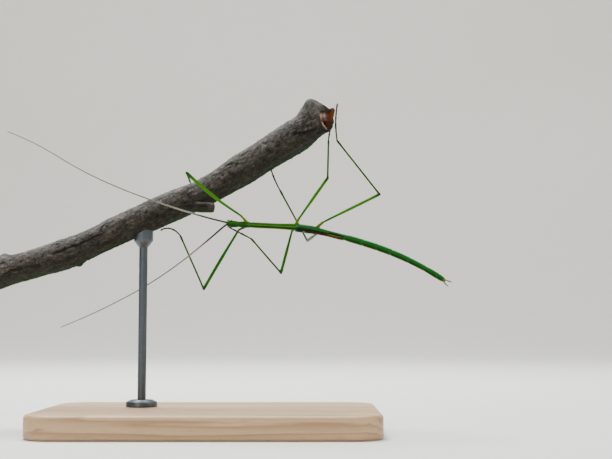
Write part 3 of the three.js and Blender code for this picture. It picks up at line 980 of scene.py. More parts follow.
def bark_material():
    made, tree, shader = new_material("Branch Bark")
    settings = branch_settings()
    straight = attribute(tree, "Straight", "Vector")

    def stretched(along):
        return add_node(
            tree, "ShaderNodeMapping", {"Vector": straight, "Scale": (1.0, 1.0, along)}
        ).outputs[0]

    coarse = texture(tree, stretched(0.2), 0.5, 6.0, 0.62)
    fibres = texture(tree, stretched(0.22), 2.6, 5.0, 0.7)
    flakes = texture(tree, stretched(0.6), 0.85, 6.0, 0.66)
    grains = texture(tree, stretched(0.7), 2.6, 3.0, 0.6)
    grain = weighted(tree, (coarse, 0.12), (fibres, 0.2), (flakes, 0.46), (grains, 0.22))
    chips = texture(tree, stretched(0.5), 0.9, kind="ShaderNodeTexVoronoi")
    dark = tuple(settings.bark_dark)
    mid = tuple(settings.bark)
    pale = tuple(settings.bark_pale)
    base = ramp(tree, grain, (
        (0.4, dark), (0.46, mix(dark, mid, 0.55)), (0.5, mid), (0.54, mix(mid, BARK_PLUM, 0.5)),
        (0.6, mix(mid, pale, 0.9)),
    ))
    base = blend(tree, spread(tree, chips, 0.45, 0.8, 0.0, 0.6), base, dark)
    raised = spread(tree, grain, 0.4, 0.56)
    # Painted highlight: the raised bark on the top of the branch and stub is made pale.
    top_highlight = maths(tree, "MULTIPLY", attribute(tree, "Weathered"), raised, True)
    base = blend(tree, maths(tree, "MULTIPLY", top_highlight, 0.8), base, pale)
    crust = maths(tree, "MULTIPLY", attribute(tree, "Lichen"), spread(tree, flakes, 0.42, 0.56), True)
    base = blend(tree, crust, base, tuple(settings.lichen))
    # Painted shade: the branch's underside is darkened.
    shadow = maths(tree, "MULTIPLY", attribute(tree, "Under"), 0.72)
    base = blend(tree, shadow, base, mix(dark, BARK_SHADOW, 0.6))
    # The cracks and low places darken: the bark's own dark colour, with painted shade in the recesses.
    cracks = maths(tree, "MULTIPLY", attribute(tree, "Deep"), 0.9, True)
    base = blend(tree, cracks, base, dark)
    thickness = spread(tree, flakes, 0.36, 0.6, 0.55, 1.0)
    film = maths(tree, "MULTIPLY", attribute(tree, "Algae"), thickness, True)
    base = blend(tree, film, base, tuple(settings.algae))
    splits = texture(tree, stretched(0.12), 3.4, 5.0, 0.7)
    split = spread(tree, splits, 0.36, 0.62, 0.55, 1.35)
    face = scaled(tree, attribute(tree, "Face", "Color"), split)
    base = blend(tree, attribute(tree, "Torn"), base, face)
    radial = texture(tree, straight, 0.5, 3.0)
    waved = maths(tree, "MULTIPLY", radial, 1.2)
    year = maths(tree, "FRACT", maths(tree, "ADD", attribute(tree, "Ring"), waved))
    cut_face = ramp(tree, year, (
        (0.0, linear("8d6b48")), (0.6, linear("b8946a")), (0.95, linear("7a5636")),
    ))
    base = blend(tree, attribute(tree, "Sawn"), base, cut_face)
    height = weighted(tree, (fibres, 0.4), (flakes, 0.35), (grains, 0.25))
    wire(tree, shader, Base_Color=base, Roughness=spread(tree, grain, 0.3, 0.7, 0.95, 0.75))
    shader.inputs["Specular IOR Level"].default_value = 0.2
    bump(tree, shader, height, 0.34)
    return made


def wood_material():
    made, tree, shader = new_material("Stand Wood")
    settings = stand_settings()
    along = in_millimetres(tree, (0.06, 1, 1))
    wander = texture(tree, along, 0.09, 3.0, 0.5)
    place = add_node(tree, "ShaderNodeSeparateXYZ", {"Vector": along}).outputs
    level = weighted(tree, (place["Y"], 0.16), (wander, 5.0), (place["Z"], 0.2))
    year = maths(tree, "FRACT", level)
    fibre = texture(tree, in_millimetres(tree, (0.05, 1, 1)), 3.5, 4.0, 0.65)
    wood = tuple(settings.wood)
    grain = tuple(settings.grain)
    base = ramp(tree, year, (
        (0, wood), (0.55, mix(wood, grain, 0.25)), (0.9, mix(wood, grain, 0.7)), (1, wood),
    ))
    base = blend(tree, spread(tree, fibre, 0.52, 0.72, 0, 0.45), base, grain)
    tint, _ = mottled(tree, base, in_millimetres(tree, (0.1, 1, 1)), 0.08, 1.5, 0.1)
    wire(tree, shader, Base_Color=tint, Roughness=spread(tree, fibre, 0.3, 0.7, 0.42, 0.6))
    shader.inputs["Coat Weight"].default_value = 0.12
    shader.inputs["Coat Roughness"].default_value = 0.35
    bump(tree, shader, fibre, 0.06)
    return made


def steel_material():
    made, tree, shader = new_material("Stand Steel")
    brushed = in_millimetres(tree, (0.12, 0.12, 5))
    lines = texture(tree, brushed, 2.0, 4.0, 0.7)
    shade = tuple(stand_settings().steel)
    tint, _ = mottled(tree, shade, brushed, 0.3, 1.5, 0.08)
    roughness = spread(tree, lines, 0.3, 0.7, 0.34, 0.52)
    wire(tree, shader, Base_Color=tint, Metallic=1.0, Roughness=roughness)
    bump(tree, shader, lines, 0.02)
    return made


# -------------------------------------------------------------------------------- skin

def span(low, high, step):
    """Even stations from low to high, about a step apart."""
    count = max(2, math.ceil((high - low) / step))
    return [low + (high - low) * index / count for index in range(count + 1)]


def body_radius(distance):
    """The body's radius, drawn in at the joints and flared before them."""
    radius = smooth_value_at(BODY_RADII, distance)
    for joint in BODY_JOINTS:
        radius *= 1 - 0.13 * bell(distance - joint - 0.12, 0.22)
        if distance < joint:
            radius *= 1 + 0.035 * bell(joint - distance - 0.35, 0.5)
    return radius


def body_section(distance, angle):
    """How the body's section departs from an ellipse; angle 0 is the back."""
    square = abs(math.cos(angle)) ** 2.5 + abs(math.sin(angle)) ** 2.5
    factor = square ** (-1 / 2.5)
    on_thorax = step_up(distance, NECK, NECK + 1) * (1 - step_up(distance, ABDOMEN - 1, ABDOMEN + 2))
    keel = 0.05 * on_thorax * bell(math.degrees(angle), 12)
    return factor + keel


def leg_frames(leg):
    """The straight and bent paths of a leg's four pieces."""
    size = LEG_PAIRS[leg["pair"]]
    root = body_point(size["station"], 0, leg["side"] * HIP_ROOT["out"], HIP_ROOT["drop"])
    hip = body_point(size["station"], leg["forward"], leg["side"] * size["out"], size["drop"])
    thigh = heading(*leg["femur"])
    shin = heading(*leg["tibia"])
    knee = hip + thigh * size["femur"]
    ankle = knee + shin * size["tibia"]
    first, last = leg["foot"]
    foot_start = ankle + heading(*first) * FOOT_GAP
    foot_length = size["foot"] - FOOT_GAP
    return {
        "coxa": between(root, hip),
        "femur": Line(hip, thigh, size["femur"], leg["bow"]),
        "tibia": Line(knee, shin, size["tibia"]),
        "foot": Path(foot_start, ((0, *first), (foot_length, *last)), foot_length),
        "knee": knee,
        "ankle": ankle,
    }


def foot_radius(share):
    """A foot's thickness along its length: five joints, each wider at its end."""
    for low, high in zip(FOOT_JOINTS, FOOT_JOINTS[1:]):
        if share <= high:
            inside = (share - low) / (high - low)
            return FOOT_RADIUS * (0.82 + 0.33 * inside ** 2)
    return FOOT_RADIUS


def limb(name, path, radius_at, step, sides, ribs=0.0):
    """A tube along a path, with five low ribs along it."""
    rows = [(distance, radius_at(distance / path.length)) for distance in span(0, path.length, step)]
    form = turned(name, rows, sides)
    return lay(form, path, 1, lambda distance, angle: 1 + ribs * math.cos(5 * angle))


def bead_at(place, radius):
    """A slightly flattened ball."""
    bead = start_primitive(
        bpy.ops.mesh.primitive_uv_sphere_add, "bead", segments=18, ring_count=11, radius=radius,
    )
    bpy.ops.transform.resize(value=(1.04, 1.0, 0.97), center_override=(0, 0, 0))
    object_mode()
    move_vertices(bead, lambda co: co + place)
    return bead


def skin_forms():
    """The tubes that the skin is joined from, and the guide points that colour it."""
    forms = [lay(
        turned("body_form", [(d, body_radius(d)) for d in span(0, BODY_END, 0.3)], BODY_SIDES),
        body_path, BODY_FLATNESS, body_section,
    )]
    guides = []
    for distance in span(0, BODY_END, GUIDE_STEP):
        guides.append((body_path.at(distance)[0], "body", distance, body_radius(distance)))
    for leg in LEGS:
        size = LEG_PAIRS[leg["pair"]]
        paths = leg_frames(leg)
        radii = {
            "coxa": lambda share, r=size["coxa_radius"]: r * value_at(COXA_SHAPE, share),
            "femur": lambda share, r=size["femur_radius"]: r * value_at(FEMUR_SHAPE, share),
            "tibia": lambda share: TIBIA_RADIUS * value_at(TIBIA_SHAPE, share),
            "foot": foot_radius,
        }
        for part, radius_at in radii.items():
            path = paths[part]
            ribs = 0.05 if part in ("femur", "tibia") else 0
            forms.append(limb(part, path, radius_at, 0.35, LIMB_SIDES, ribs))
            for distance in span(0, path.length, GUIDE_STEP):
                share = distance / path.length
                # Painted shade: the left legs' coxae and femora, which hang below, take darker shaded
                # colours.
                shaded = leg["side"] < 0 and part in ("coxa", "femur")
                kind = f"shaded_{part}" if shaded else part
                guides.append((path.at(distance)[0], kind, share, radius_at(share)))
        forms.append(bead_at(paths["knee"], KNEE_RADIUS))
        forms.append(bead_at(paths["ankle"], ANKLE_RADIUS))
    for sign in (1, -1):
        spot = body_point(BROW["station"], 0, sign * BROW["out"], BROW["drop"])
        forms.append(bead_at(spot, BROW["radius"]))
        guides.append((spot, "brow", 0, BROW["radius"]))
        for start, end, radius in MOUTHPARTS:
            root = body_point(start[0], 0, sign * start[1], start[2])
            tip = body_point(end[0], 0, sign * end[1], end[2])
            path = between(root, tip, 0.08)
            rows = [(0, radius), (path.length * 0.5, radius * 1.1), (path.length * 0.9, radius * 0.9),
                    (path.length, radius * 0.5)]
            forms.append(lay(turned("palp", rows, 12), path))
            guides.append((root.lerp(tip, 0.6), "palp", 0, radius))
    return forms, guides


def graded(stops, place):
    """The colour at a place in stops of (place, colour)."""
    shade = stops[-1][1]
    for (low, first), (high, second) in zip(stops, stops[1:]):
        if place <= high:
            return mix(first, second, (place - low) / (high - low))
    return shade


def body_tint(point, distance):
    """The body's colour at a point, by its distance along and its angle round."""
    settings = insect_settings()
    centre, _, side, under = body_path.at(distance)
    off = point - centre
    angle = math.degrees(math.atan2(off.dot(side), -off.dot(under)))
    around = abs(angle)
    midline = tuple(settings.midline)
    thorax = tuple(settings.thorax)
    stripe = tuple(settings.thorax_stripe)
    belly = tuple(settings.belly)
    flank = tuple(settings.flank)
    abdomen = tuple(settings.abdomen)
    head = tuple(settings.head)
    on_thorax = graded((
        (0, midline), (14, mix(midline, thorax, 0.35)), (38, stripe), (52, thorax),
        (64, mix(midline, thorax, 0.3)), (76, thorax), (92, stripe), (112, mix(thorax, belly, 0.5)),
        (150, belly),
    ), around)
    # On the abdomen the flanks near 115 degrees turn mint: a painted sky reflection.
    on_abdomen = graded((
        (0, mix(midline, abdomen, 0.15)), (14, mix(midline, abdomen, 0.5)), (30, abdomen),
        (48, mix(abdomen, flank, 0.6)), (66, mix(abdomen, midline, 0.25)), (88, flank),
        (115, mix(flank, FLANK_SKY_SHEEN, 0.6)), (160, belly),
    ), around)
    on_head = graded((
        (0, mix(midline, head, 0.5)), (30, head), (62, mix(head, stripe, 0.25)),
        (95, mix(head, midline, 0.5)), (130, mix(head, midline, 0.7)), (160, belly),
    ), around)
    # Painted shade: the head darkens on its lower, left side.
    on_head = mix(on_head, midline, 0.6 * step_up(-angle, -14, 30))
    shade = mix(on_head, on_thorax, step_up(distance, NECK + 1.5, MESOTHORAX + 2))
    shade = mix(shade, on_abdomen, step_up(distance, 23, 33))
    # Painted shade: the body's lower, left side turns olive-brown from the mesothorax back.
    shade = mix(shade, LOWER_SIDE_SHADE, 0.6 * step_up(-angle, 12, 48) * step_up(distance, 9, 14))
    for joint in BODY_JOINTS:
        shade = mix(shade, midline, 0.5 * bell(distance - joint - 0.1, 0.2))
        shade = mix(shade, flank, 0.3 * bell(distance - joint + 0.5, 0.35))
    if distance < NECK:
        cheek = bell(distance - 2.2, 0.5) * bell(around - 58, 14)
        shade = mix(shade, CHEEK_GREEN, 0.4 * cheek)
    streak = noise.noise((around / 9, distance / 3, 2.5))
    shade = mix(shade, midline, 0.3 * step_up(streak, 0.1, 0.5))
    return mix(shade, tuple(settings.tip), 0.8 * step_up(distance, 78.6, 79.8))


def paint_skin(skin, guides):
    """Colours the skin from the nearest piece of the body or a leg."""
    settings = insect_settings()
    tree = kdtree.KDTree(len(guides))
    for index, guide in enumerate(guides):
        tree.insert(guide[0], index)
    tree.balance()
    hip = tuple(settings.hip)
    leg = tuple(settings.leg)
    # Painted light: the right femora take a lighter, lit colour along their middle.
    lit = mix(leg, tuple(settings.thorax_stripe), 0.55)
    shin = tuple(settings.shin)
    foot = tuple(settings.foot)
    head = tuple(settings.head)
    dark = tuple(settings.midline)
    knee = mix(leg, dark, 0.6)
    shades = {
        "coxa": ((0, mix(hip, leg, 0.5)), (0.4, hip), (0.8, hip), (1, mix(hip, leg, 0.6))),
        "shaded_coxa": ((0, mix(leg, dark, 0.6)), (0.7, mix(leg, dark, 0.3)), (1, mix(leg, hip, 0.4))),
        "shaded_femur": ((0, mix(leg, dark, 0.3)), (0.3, mix(leg, dark, 0.15)), (0.9, leg), (1, knee)),
        "femur": ((0, mix(hip, leg, 0.6)), (0.1, leg), (0.3, lit), (0.85, lit), (1, knee)),
        "tibia": ((0, mix(shin, dark, 0.5)), (0.06, shin), (0.85, shin), (1, mix(shin, foot, 0.7))),
        "foot": ((0, foot), (1, mix(foot, FOOT_BROWN, 0.5))),
        "brow": ((0, mix(head, BROW_GREEN, 0.6)), (1, leg)),
        "palp": ((0, mix(dark, head, 0.5)), (1, dark)),
    }
    tints = []
    for vertex in skin.data.vertices:
        near = min(tree.find_n(vertex.co, 8), key=lambda found: found[2] - guides[found[1]][3])
        _, part, place, _ = guides[near[1]]
        shade = body_tint(vertex.co, place) if part == "body" else graded(shades[part], place)
        tints.append((*shade, 1))
    write_attribute(skin, "Tint", "FLOAT_COLOR", tints)


FLESH_NODES = [
    "head", "prothorax", "mesothorax", "metathorax",
    *[f"abdomen_segment_{number}" for number in range(1, 9)],
    *[f"leg_{leg['name']}_{part}" for leg in LEGS for part in ("coxa", "femur", "tibia", "tarsus")],
]


class STICKINSECT_OT_skin(bpy.types.Operator):
    """Make the insect's one skin over head, body and legs"""

    bl_idname = "stickinsect.skin"
    bl_label = "Skin"

    def execute(self, context):
        forms, guides = skin_forms()
        skin = joined("insect_skin", forms)
        modify(skin, "REMESH", mode="VOXEL", voxel_size=insect_settings().skin_step / MM)
        modify(skin, "SMOOTH", factor=0.5, iterations=3)
        paint_skin(skin, guides)
        finish_piece(skin, "insect_skin", skin_material(), FLESH_NODES)
        return {"FINISHED"}


# ------------------------------------------------------------- eyes, feelers and so on

class STICKINSECT_OT_eyes(bpy.types.Operator):
    """Make the two eyes"""

    bl_idname = "stickinsect.eyes"
    bl_label = "Eyes"

    def execute(self, context):
        material = eye_material()
        for side, sign in SIDES:
            centre = body_point(EYE["station"], 0, sign * EYE["out"], -EYE["up"])
            _, along, _, _ = body_path.at(EYE["station"])
            eye = start_primitive(
                bpy.ops.mesh.primitive_uv_sphere_add, "eye", segments=32, ring_count=20,
                radius=EYE["radius"],
            )
            bpy.ops.transform.resize(value=(1.0, 0.98, 0.86))
            object_mode()
            turn = along.to_track_quat("X", "Z").to_matrix()
            move_vertices(eye, lambda co, turn=turn, centre=centre: turn @ co + centre)
            finish_piece(eye, f"insect_eye_{side}", material, [f"eye_{side}"])
        return {"FINISHED"}


def feeler_rows():
    """A feeler's outline: its base in the head and two joints, then many small rings."""
    settings = insect_settings()
    root = settings.feeler_root / MM / 2
    tip = settings.feeler_tip / MM / 2
    taper = ((0, root), (14, root * 0.84), (30, root * 0.66), (FEELER_LENGTH, tip))
    rows = [*FEELER_BASE, (1.95, root * 0.9)]
    place = FEELER_RING["first"]
    ring = FEELER_RING["length"]
    while place + ring < FEELER_LENGTH:
        radius = value_at(taper, place)
        for share, factor in ((0, 0.9), (0.15, 1), (0.92, 1.06)):
            rows.append((place + ring * share, radius * factor))
        place += ring
        ring = min(FEELER_RING["longest"], ring * FEELER_RING["growth"])
    rows.append((FEELER_LENGTH, tip * 0.6))
    return rows


class STICKINSECT_OT_feelers(bpy.types.Operator):
    """Make the two feelers"""

    bl_idname = "stickinsect.feelers"
    bl_label = "Feelers"

    def execute(self, context):
        material = feeler_material()
        rows = feeler_rows()
        joints = [row[0] for row in rows[len(FEELER_BASE) + 1::3]]
        for side, sign in SIDES:
            out = sign * FEELER_ROOT["out"]
            root = body_point(FEELER_ROOT["station"], FEELER_ROOT["forward"], out, 0)
            path = Path(root, FEELER_HEADINGS[side], FEELER_LENGTH)
            feeler = turned("feeler", rows, 10)
            places = [vertex.co.z for vertex in feeler.data.vertices]
            lay(feeler, path)
            write_attribute(feeler, "Share", "FLOAT", [place / FEELER_LENGTH for place in places])
            near = [min(abs(place - joint) for joint in joints) for place in places]
            write_attribute(feeler, "Ring", "FLOAT", [bell(gap, 0.12) for gap in near])
            finish_piece(feeler, f"insect_feeler_{side}", material, [f"antenna_{side}"])
        return {"FINISHED"}


class STICKINSECT_OT_claspers(bpy.types.Operator):
    """Make the two claspers at the tip of the tail"""

    bl_idname = "stickinsect.claspers"
    bl_label = "Claspers"

    def execute(self, context):
        material = horn_material()
        for side, sign in SIDES:
            root = body_point(BODY_END - 0.6, 0, sign * CLASPER["spread"], 0)
            tip = body_point(BODY_END + CLASPER["length"], 0, sign * CLASPER["tip_spread"], 0)
            path = between(root, tip, 0.12)
            rows = [(share * path.length, CLASPER["radius"] * thick) for share, thick in CLASPER_SHAPE]
            clasper = turned("clasper", rows, 16)
            modify(clasper, "SUBSURF", levels=1, render_levels=1)
            places = [vertex.co.z / path.length for vertex in clasper.data.vertices]
            lay(clasper, path)
            write_attribute(clasper, "Share", "FLOAT", places)
            finish_piece(clasper, f"insect_clasper_{side}", material, [f"clasper_{side}"])
        return {"FINISHED"}


def wing_form(name, wing, sign, tint):
    """A thin sheet bent round the back, with round ends, thickened to a plate."""
    columns, rows = wing["cells"]
    sheet = start_primitive(
        bpy.ops.mesh.primitive_grid_add, name, x_subdivisions=columns, y_subdivisions=rows, size=1
    )
    object_mode()
    inner, outer = (math.radians(angle) for angle in wing["reach"])
    acrosses = []
    alongs = []
    tints = []

    def place(co):
        share = co.y + 0.5
        across = co.x + 0.5
        distance = wing["start"] + share * wing["length"]
        to_end = min(share, 1 - share) / wing["taper"]
        roundness = math.sqrt(max(0, 1 - (1 - to_end) ** 2)) if to_end < 1 else 1
        width = 0.12 + 0.88 * roundness
        angle = inner + (outer - inner) * (0.5 + (across - 0.5) * width)
        crown = 0.1 * math.sin(math.pi * across) * roundness
        level = value_at(BODY_RADII, distance) + wing["lift"] + crown
        point, _, side, under = body_path.at(distance)
        acrosses.append(across)
        alongs.append(share)
        tints.append((*tint(across, share, sign), 1))
        return point + side * level * math.sin(sign * angle) - under * level * math.cos(angle)

    move_vertices(sheet, place)
    write_attribute(sheet, "Across", "FLOAT", acrosses)
    write_attribute(sheet, "Along", "FLOAT", alongs)
    write_attribute(sheet, "Tint", "FLOAT_COLOR", tints)
    if sign < 0:
        edit_whole(sheet, bpy.ops.mesh.flip_normals)
    modify(sheet, "SOLIDIFY", thickness=insect_settings().wing_sheet / MM, offset=-1)
    edit_whole(sheet, bpy.ops.mesh.normals_make_consistent, inside=False)
    return sheet


def tegmen_tint(across, share, sign):
    """A fore wing: pale in front, green outside and nearly black near the midline."""
    settings = insect_settings()
    green = mix(tuple(settings.wing), TEGMEN_OUTER, 0.3 * step_up(across, 0.5, 0.9))
    streak = noise.noise((across * 7, share * 2.2, 3))
    green = mix(green, WING_BLACK, 0.45 * step_up(streak, 0, 0.4))
    shade = mix(mix(green, WING_BLACK, 0.8), green, step_up(across, 0.28, 0.5))
    if sign < 0:
        # Painted shade: the left fore wing, turned down, is darkened.
        shade = mix(shade, WING_BLACK, 0.45)
        # Painted glint: a pale spot on the left fore wing.
        return mix(shade, TEGMEN_GLINT, 0.7 * bell(share - 0.55, 0.06) * bell(across - 0.25, 0.14))
    # Painted highlight: the right fore wing is pale at its front.
    front = 0.5 * (1 - step_up(share, 0.04, 0.2)) * step_up(across, 0.2, 0.5)
    return mix(shade, TEGMEN_FRONT_HIGHLIGHT, front)


def hindwing_tint(across, share, sign):
    """A hind wing: green outside, a black band, and the folded part at the midline."""
    settings = insect_settings()
    green = mix(tuple(settings.wing), WING_DEEP, bell(across - 0.5, 0.14))
    # Painted highlight: a sky-blue sheen along the outer edge of the wing's rear half.
    outer = step_up(across, 0.72, 0.95) * step_up(share, 0.35, 0.6)
    green = mix(green, WING_SKY_SHEEN, 0.7 * outer)
    streak = noise.noise((across * 9, share * 2.5, 6))
    green = mix(green, WING_BLACK, 0.3 * step_up(streak, 0.05, 0.4))
    late = step_up(share, 0.55, 0.72)
    fold = mix(tuple(settings.fold), WING_BLACK, 0.5 * step_up(streak, -0.1, 0.3))
    if sign > 0:
        band = 0.17 + 0.28 * late
        return layered(
            green,
            # The black band along the inner margin: the wing's dark margin, with painted shadow of the
            # gap between the wings.
            (WING_BLACK, 0.97 * (1 - step_up(across, band + 0.06, band + 0.16))),
            (fold, (1 - late) * (1 - step_up(across, 0.05, 0.1))),
            (WING_LINE, late * bell(across - 0.1, 0.045)),
            (WING_BLACK, 0.8 * step_up(share, 0.96, 0.99) * (1 - step_up(across, 0.6, 0.8))),
        )
    return layered(
        fold,
        # Painted shade: the left hind wing is darkened to olive away from the midline.
        (mix(green, SHADED_WING_OLIVE, 0.75), step_up(across, 0.24, 0.36)),
        (WING_LINE, late * bell(across - 0.02, 0.03)),
        (WING_BLACK, late * bell(across - 0.2, 0.15)),
    )


class STICKINSECT_OT_wings(bpy.types.Operator):
    """Make the two pairs of wings"""

    bl_idname = "stickinsect.wings"
    bl_label = "Wings"

    def execute(self, context):
        material = wing_material()
        for side, sign in SIDES:
            tegmen = wing_form("tegmen", TEGMEN, sign, tegmen_tint)
            finish_piece(tegmen, f"insect_tegmen_{side}", material, [f"tegmen_{side}"])
            hindwing = wing_form("hindwing", HINDWING, sign, hindwing_tint)
            finish_piece(hindwing, f"insect_hindwing_{side}", material, [f"hindwing_{side}"])
        return {"FINISHED"}


class STICKINSECT_OT_claws(bpy.types.Operator):
    """Make the claws and the pad of each foot"""

    bl_idname = "stickinsect.claws"
    bl_label = "Claws"

    def execute(self, context):
        material = horn_material()
        for leg in LEGS:
            foot = leg_frames(leg)["foot"]
            end, along, side, under = foot.at(foot.length)
            pieces = []
            for sign in (1, -1):
                ahead = (along + side * 0.5 * sign).normalized()
                path = Line(end - along * 0.12, ahead, CLAW_RADII[-1][0], 0.16)
                pieces.append(lay(turned("claw", CLAW_RADII, 8), path))
            below = (along + under * 0.4).normalized()
            path = Line(end - along * 0.1, below, PAD_RADII[-1][0])
            pieces.append(lay(turned("pad", PAD_RADII, 10), path))
            claws = joined("claws", pieces)
            places = [min((vertex.co - end).length / 0.6, 1) for vertex in claws.data.vertices]
            write_attribute(claws, "Share", "FLOAT", places)
            finish_piece(claws, f"insect_claws_{leg['name']}", material)
        return {"FINISHED"}


# ------------------------------------------------------------------------------ branch

def turn_from(angle, around):
    """How far an angle lies from one in degrees, the shorter way round."""
    return (math.degrees(angle) - around + 180) % 360 - 180


def noise_round(angle, reach, level):
    """Noise that closes on itself round the branch."""
    return noise.noise((math.sin(angle) * reach, math.cos(angle) * reach, level))


def swelling(distance, angle):
    """The height of the branch's swellings at a place, in millimetres."""
    total = 0
    for along, around, height, reach, width in SWELLINGS:
        total += height * bell(distance - along, reach) * bell(turn_from(angle, around), width)
    return total


def branch_radius(distance, angle):
    """The branch's radius without its bark."""
    return value_at(BRANCH_RADII, distance) + swelling(distance, angle)


def crack_depth(distance, angle):
    """How deep the cracks are at a place, in millimetres."""
    deep = 0
    for first, last, around, around_end, depth, width in CRACKS:
        if not first - 3 < distance < last + 3:
            continue
        share = min(max((distance - first) / (last - first), 0), 1)
        centre = around + (around_end - around) * share
        centre += 5 * noise.noise((distance * 0.25, first, 0))
        ends = step_up(distance, first - 1.5, first + 2) * (1 - step_up(distance, last - 2, last + 1.5))
        deep = max(deep, depth * ends * bell(turn_from(angle, centre), width))
    return deep


def bark_relief(distance, angle):
    """The height of the bark above the plain branch, in millimetres."""
    x = BRANCH_MEAN_RADIUS * math.sin(angle)
    y = BRANCH_MEAN_RADIUS * math.cos(angle)
    waves = 0.26 * noise.noise((x / 2.6, y / 2.6, distance / 11))
    ridges = 0.5 - abs(noise.noise((x / 1.1 + 7, y / 1.1, distance / 4.5)))
    furrows = 0.5 - abs(noise.noise((x / 0.62, y / 0.62 + 3, distance / 2.2)))
    flakes = noise.noise((x / 0.55, y / 0.55, distance / 0.85 + 9))
    grain = noise.noise((x / 0.28, y / 0.28, distance / 0.6 + 9))
    swirl = 0.9 * noise.noise((x / 1.4, y / 1.4, distance / 2.8 + 5))
    scales = 0.5 - abs(noise.noise((x / 0.95 + swirl, y / 0.95, distance / 1.35 + swirl)))
    hollows = 0.14 * max(0, ridges * 2 - 0.4) + 0.13 * max(0, furrows * 2 - 0.35)
    return waves - hollows - 0.26 * max(0, scales * 2 - 0.3) + 0.15 * flakes + 0.08 * grain


BREAK_POINT = Vector(BREAK["point"])
BREAK_NORMAL = heading(BREAK["azimuth"], BREAK["elevation"])
BREAK_ACROSS = UP.cross(BREAK_NORMAL).normalized()
BREAK_UP = BREAK_NORMAL.cross(BREAK_ACROSS)


def to_line(place, line):
    """The distance from a place to a broken line, both flat."""
    nearest = math.inf
    for first, second in zip(line, line[1:]):
        run = (second[0] - first[0], second[1] - first[1])
        off = (place[0] - first[0], place[1] - first[1])
        share = (off[0] * run[0] + off[1] * run[1]) / (run[0] ** 2 + run[1] ** 2)
        share = min(max(share, 0), 1)
        nearest = min(nearest, math.hypot(off[0] - run[0] * share, off[1] - run[1] * share))
    return nearest


def inside_window(place):
    """How far a place lies inside the torn window; below 0 outside it."""
    crossings = 0
    for first, second in zip(WINDOW, (*WINDOW[1:], WINDOW[0])):
        if (first[1] > place[1]) != (second[1] > place[1]):
            share = (place[1] - first[1]) / (second[1] - first[1])
            crossings += place[0] < first[0] + (second[0] - first[0]) * share
    depth = to_line(place, (*WINDOW, WINDOW[0]))
    return depth if crossings % 2 else -depth


def branch_place(distance, angle, radius):
    """The point at a distance, angle and radius of the branch."""
    point, _, side, under = branch_path.at(distance)
    return point + side * radius * math.sin(angle) - under * radius * math.cos(angle)


def break_distance(angle, share):
    """Where the break crosses the branch at an angle and a share of its radius."""
    low = KNOB_START - BREAK_MARGIN
    high = BRANCH_LENGTH + BREAK_MARGIN
    for _ in range(BREAK_HALVINGS):
        middle = (low + high) / 2
        place = branch_place(middle, angle, share * branch_radius(middle, angle))
        if (place - BREAK_POINT).dot(BREAK_NORMAL) > 0:
            high = middle
        else:
            low = middle
    return (low + high) / 2


def patch(place, centre, reach):
    """A soft oval patch: 1 at its centre, 0 well outside it."""
    return bell(math.hypot((place[0] - centre[0]) / reach[0], (place[1] - centre[1]) / reach[1]), 1)


def torn_face(place):
    """The break's face at a flat place: how torn, how far out, and its colour."""
    settings = branch_settings()
    x, y = place
    ragged = 0.14 * noise.noise((x * 1.6, y * 1.6, 7)) + 0.06 * noise.noise((x * 5, y * 5, 2))
    depth = inside_window(place) + ragged
    torn = step_up(depth, -0.08, 0.1)
    fibres = noise.noise((x * 2.1, y * 1.1, 4)) + 0.5 * noise.noise((x * 4.6, y * 2.4, 9))
    right = to_line(place, WINDOW_RIGHT)
    curl = bell(to_line(place, CURL), 0.42) * torn
    wobble = 1 + 0.2 * noise.noise((x * 1.4, y * 1.4, 8))
    hole = math.hypot(x - HOLLOW["across"], (y - HOLLOW["up"]) * 0.8) / HOLLOW["radius"]
    # The hollow in the face: pushed in by its depth, and painted near black as painted shade in the
    # hole.
    hollow_and_shade = (1 - step_up(hole * wobble, 0.6, 1.15)) * torn
    out = torn * (-0.75 * step_up(depth, 0, 0.7) + 0.32 * fibres) + 0.75 * curl - HOLLOW["depth"] * hollow_and_shade
    pale = tuple(settings.torn_pale)
    gold = mix(TORN_GOLD_LOW, TORN_GOLD, step_up(y, -1.5, 3))
    edge = 1 - step_up(depth, 0.05, 0.5)
    inward = step_up(right, 0.3, 1.2)
    shade = layered(
        tuple(settings.torn),
        (TORN_DARK, 0.55 * step_up(fibres, 0.1, -0.35)),
        (TORN_RED, 0.8 * patch(place, (1.5, 1.9), (1.5, 1.9))),
        (TORN_PINK, 0.75 * patch(place, (0.4, 0.25), (0.7, 0.5))),
        (gold, 0.9 * bell(right - 0.5, 0.5)),
        (pale, 0.95 * patch(place, (-3.0, 1.2), (1.15, 1.4))),
        (pale, 0.9 * patch(place, (-0.6, 1.6), (1.0, 1.1))),
        (pale, 0.9 * curl),
        (TORN_DARK, 0.85 * edge * inward),
        (TORN_DARK, 0.8 * step_up(y - 0.25 * x, 2.3, 3.1) * inward),
        (TORN_RIM, 0.7 * (1 - step_up(right, 0.05, 0.3))),
        # Painted shade: near black in the hollow.
        (HOLLOW_BLACK, hollow_and_shade),
    )
    return torn, out, shade


MASKS = ("Deep", "Weathered", "Under", "Lichen", "Algae", "Torn", "Sawn", "Ring")
PAINT = {**dict.fromkeys(MASKS, "FLOAT"), "Straight": "FLOAT_VECTOR", "Face": "FLOAT_COLOR"}


def write_paint(form, masks, straight, faces):
    """Stores what the bark's material needs: masks, straight places and face colours."""
    for name, values in masks.items():
        write_attribute(form, name, PAINT[name], values)
    write_attribute(form, "Straight", PAINT["Straight"], straight)
    write_attribute(form, "Face", PAINT["Face"], faces)


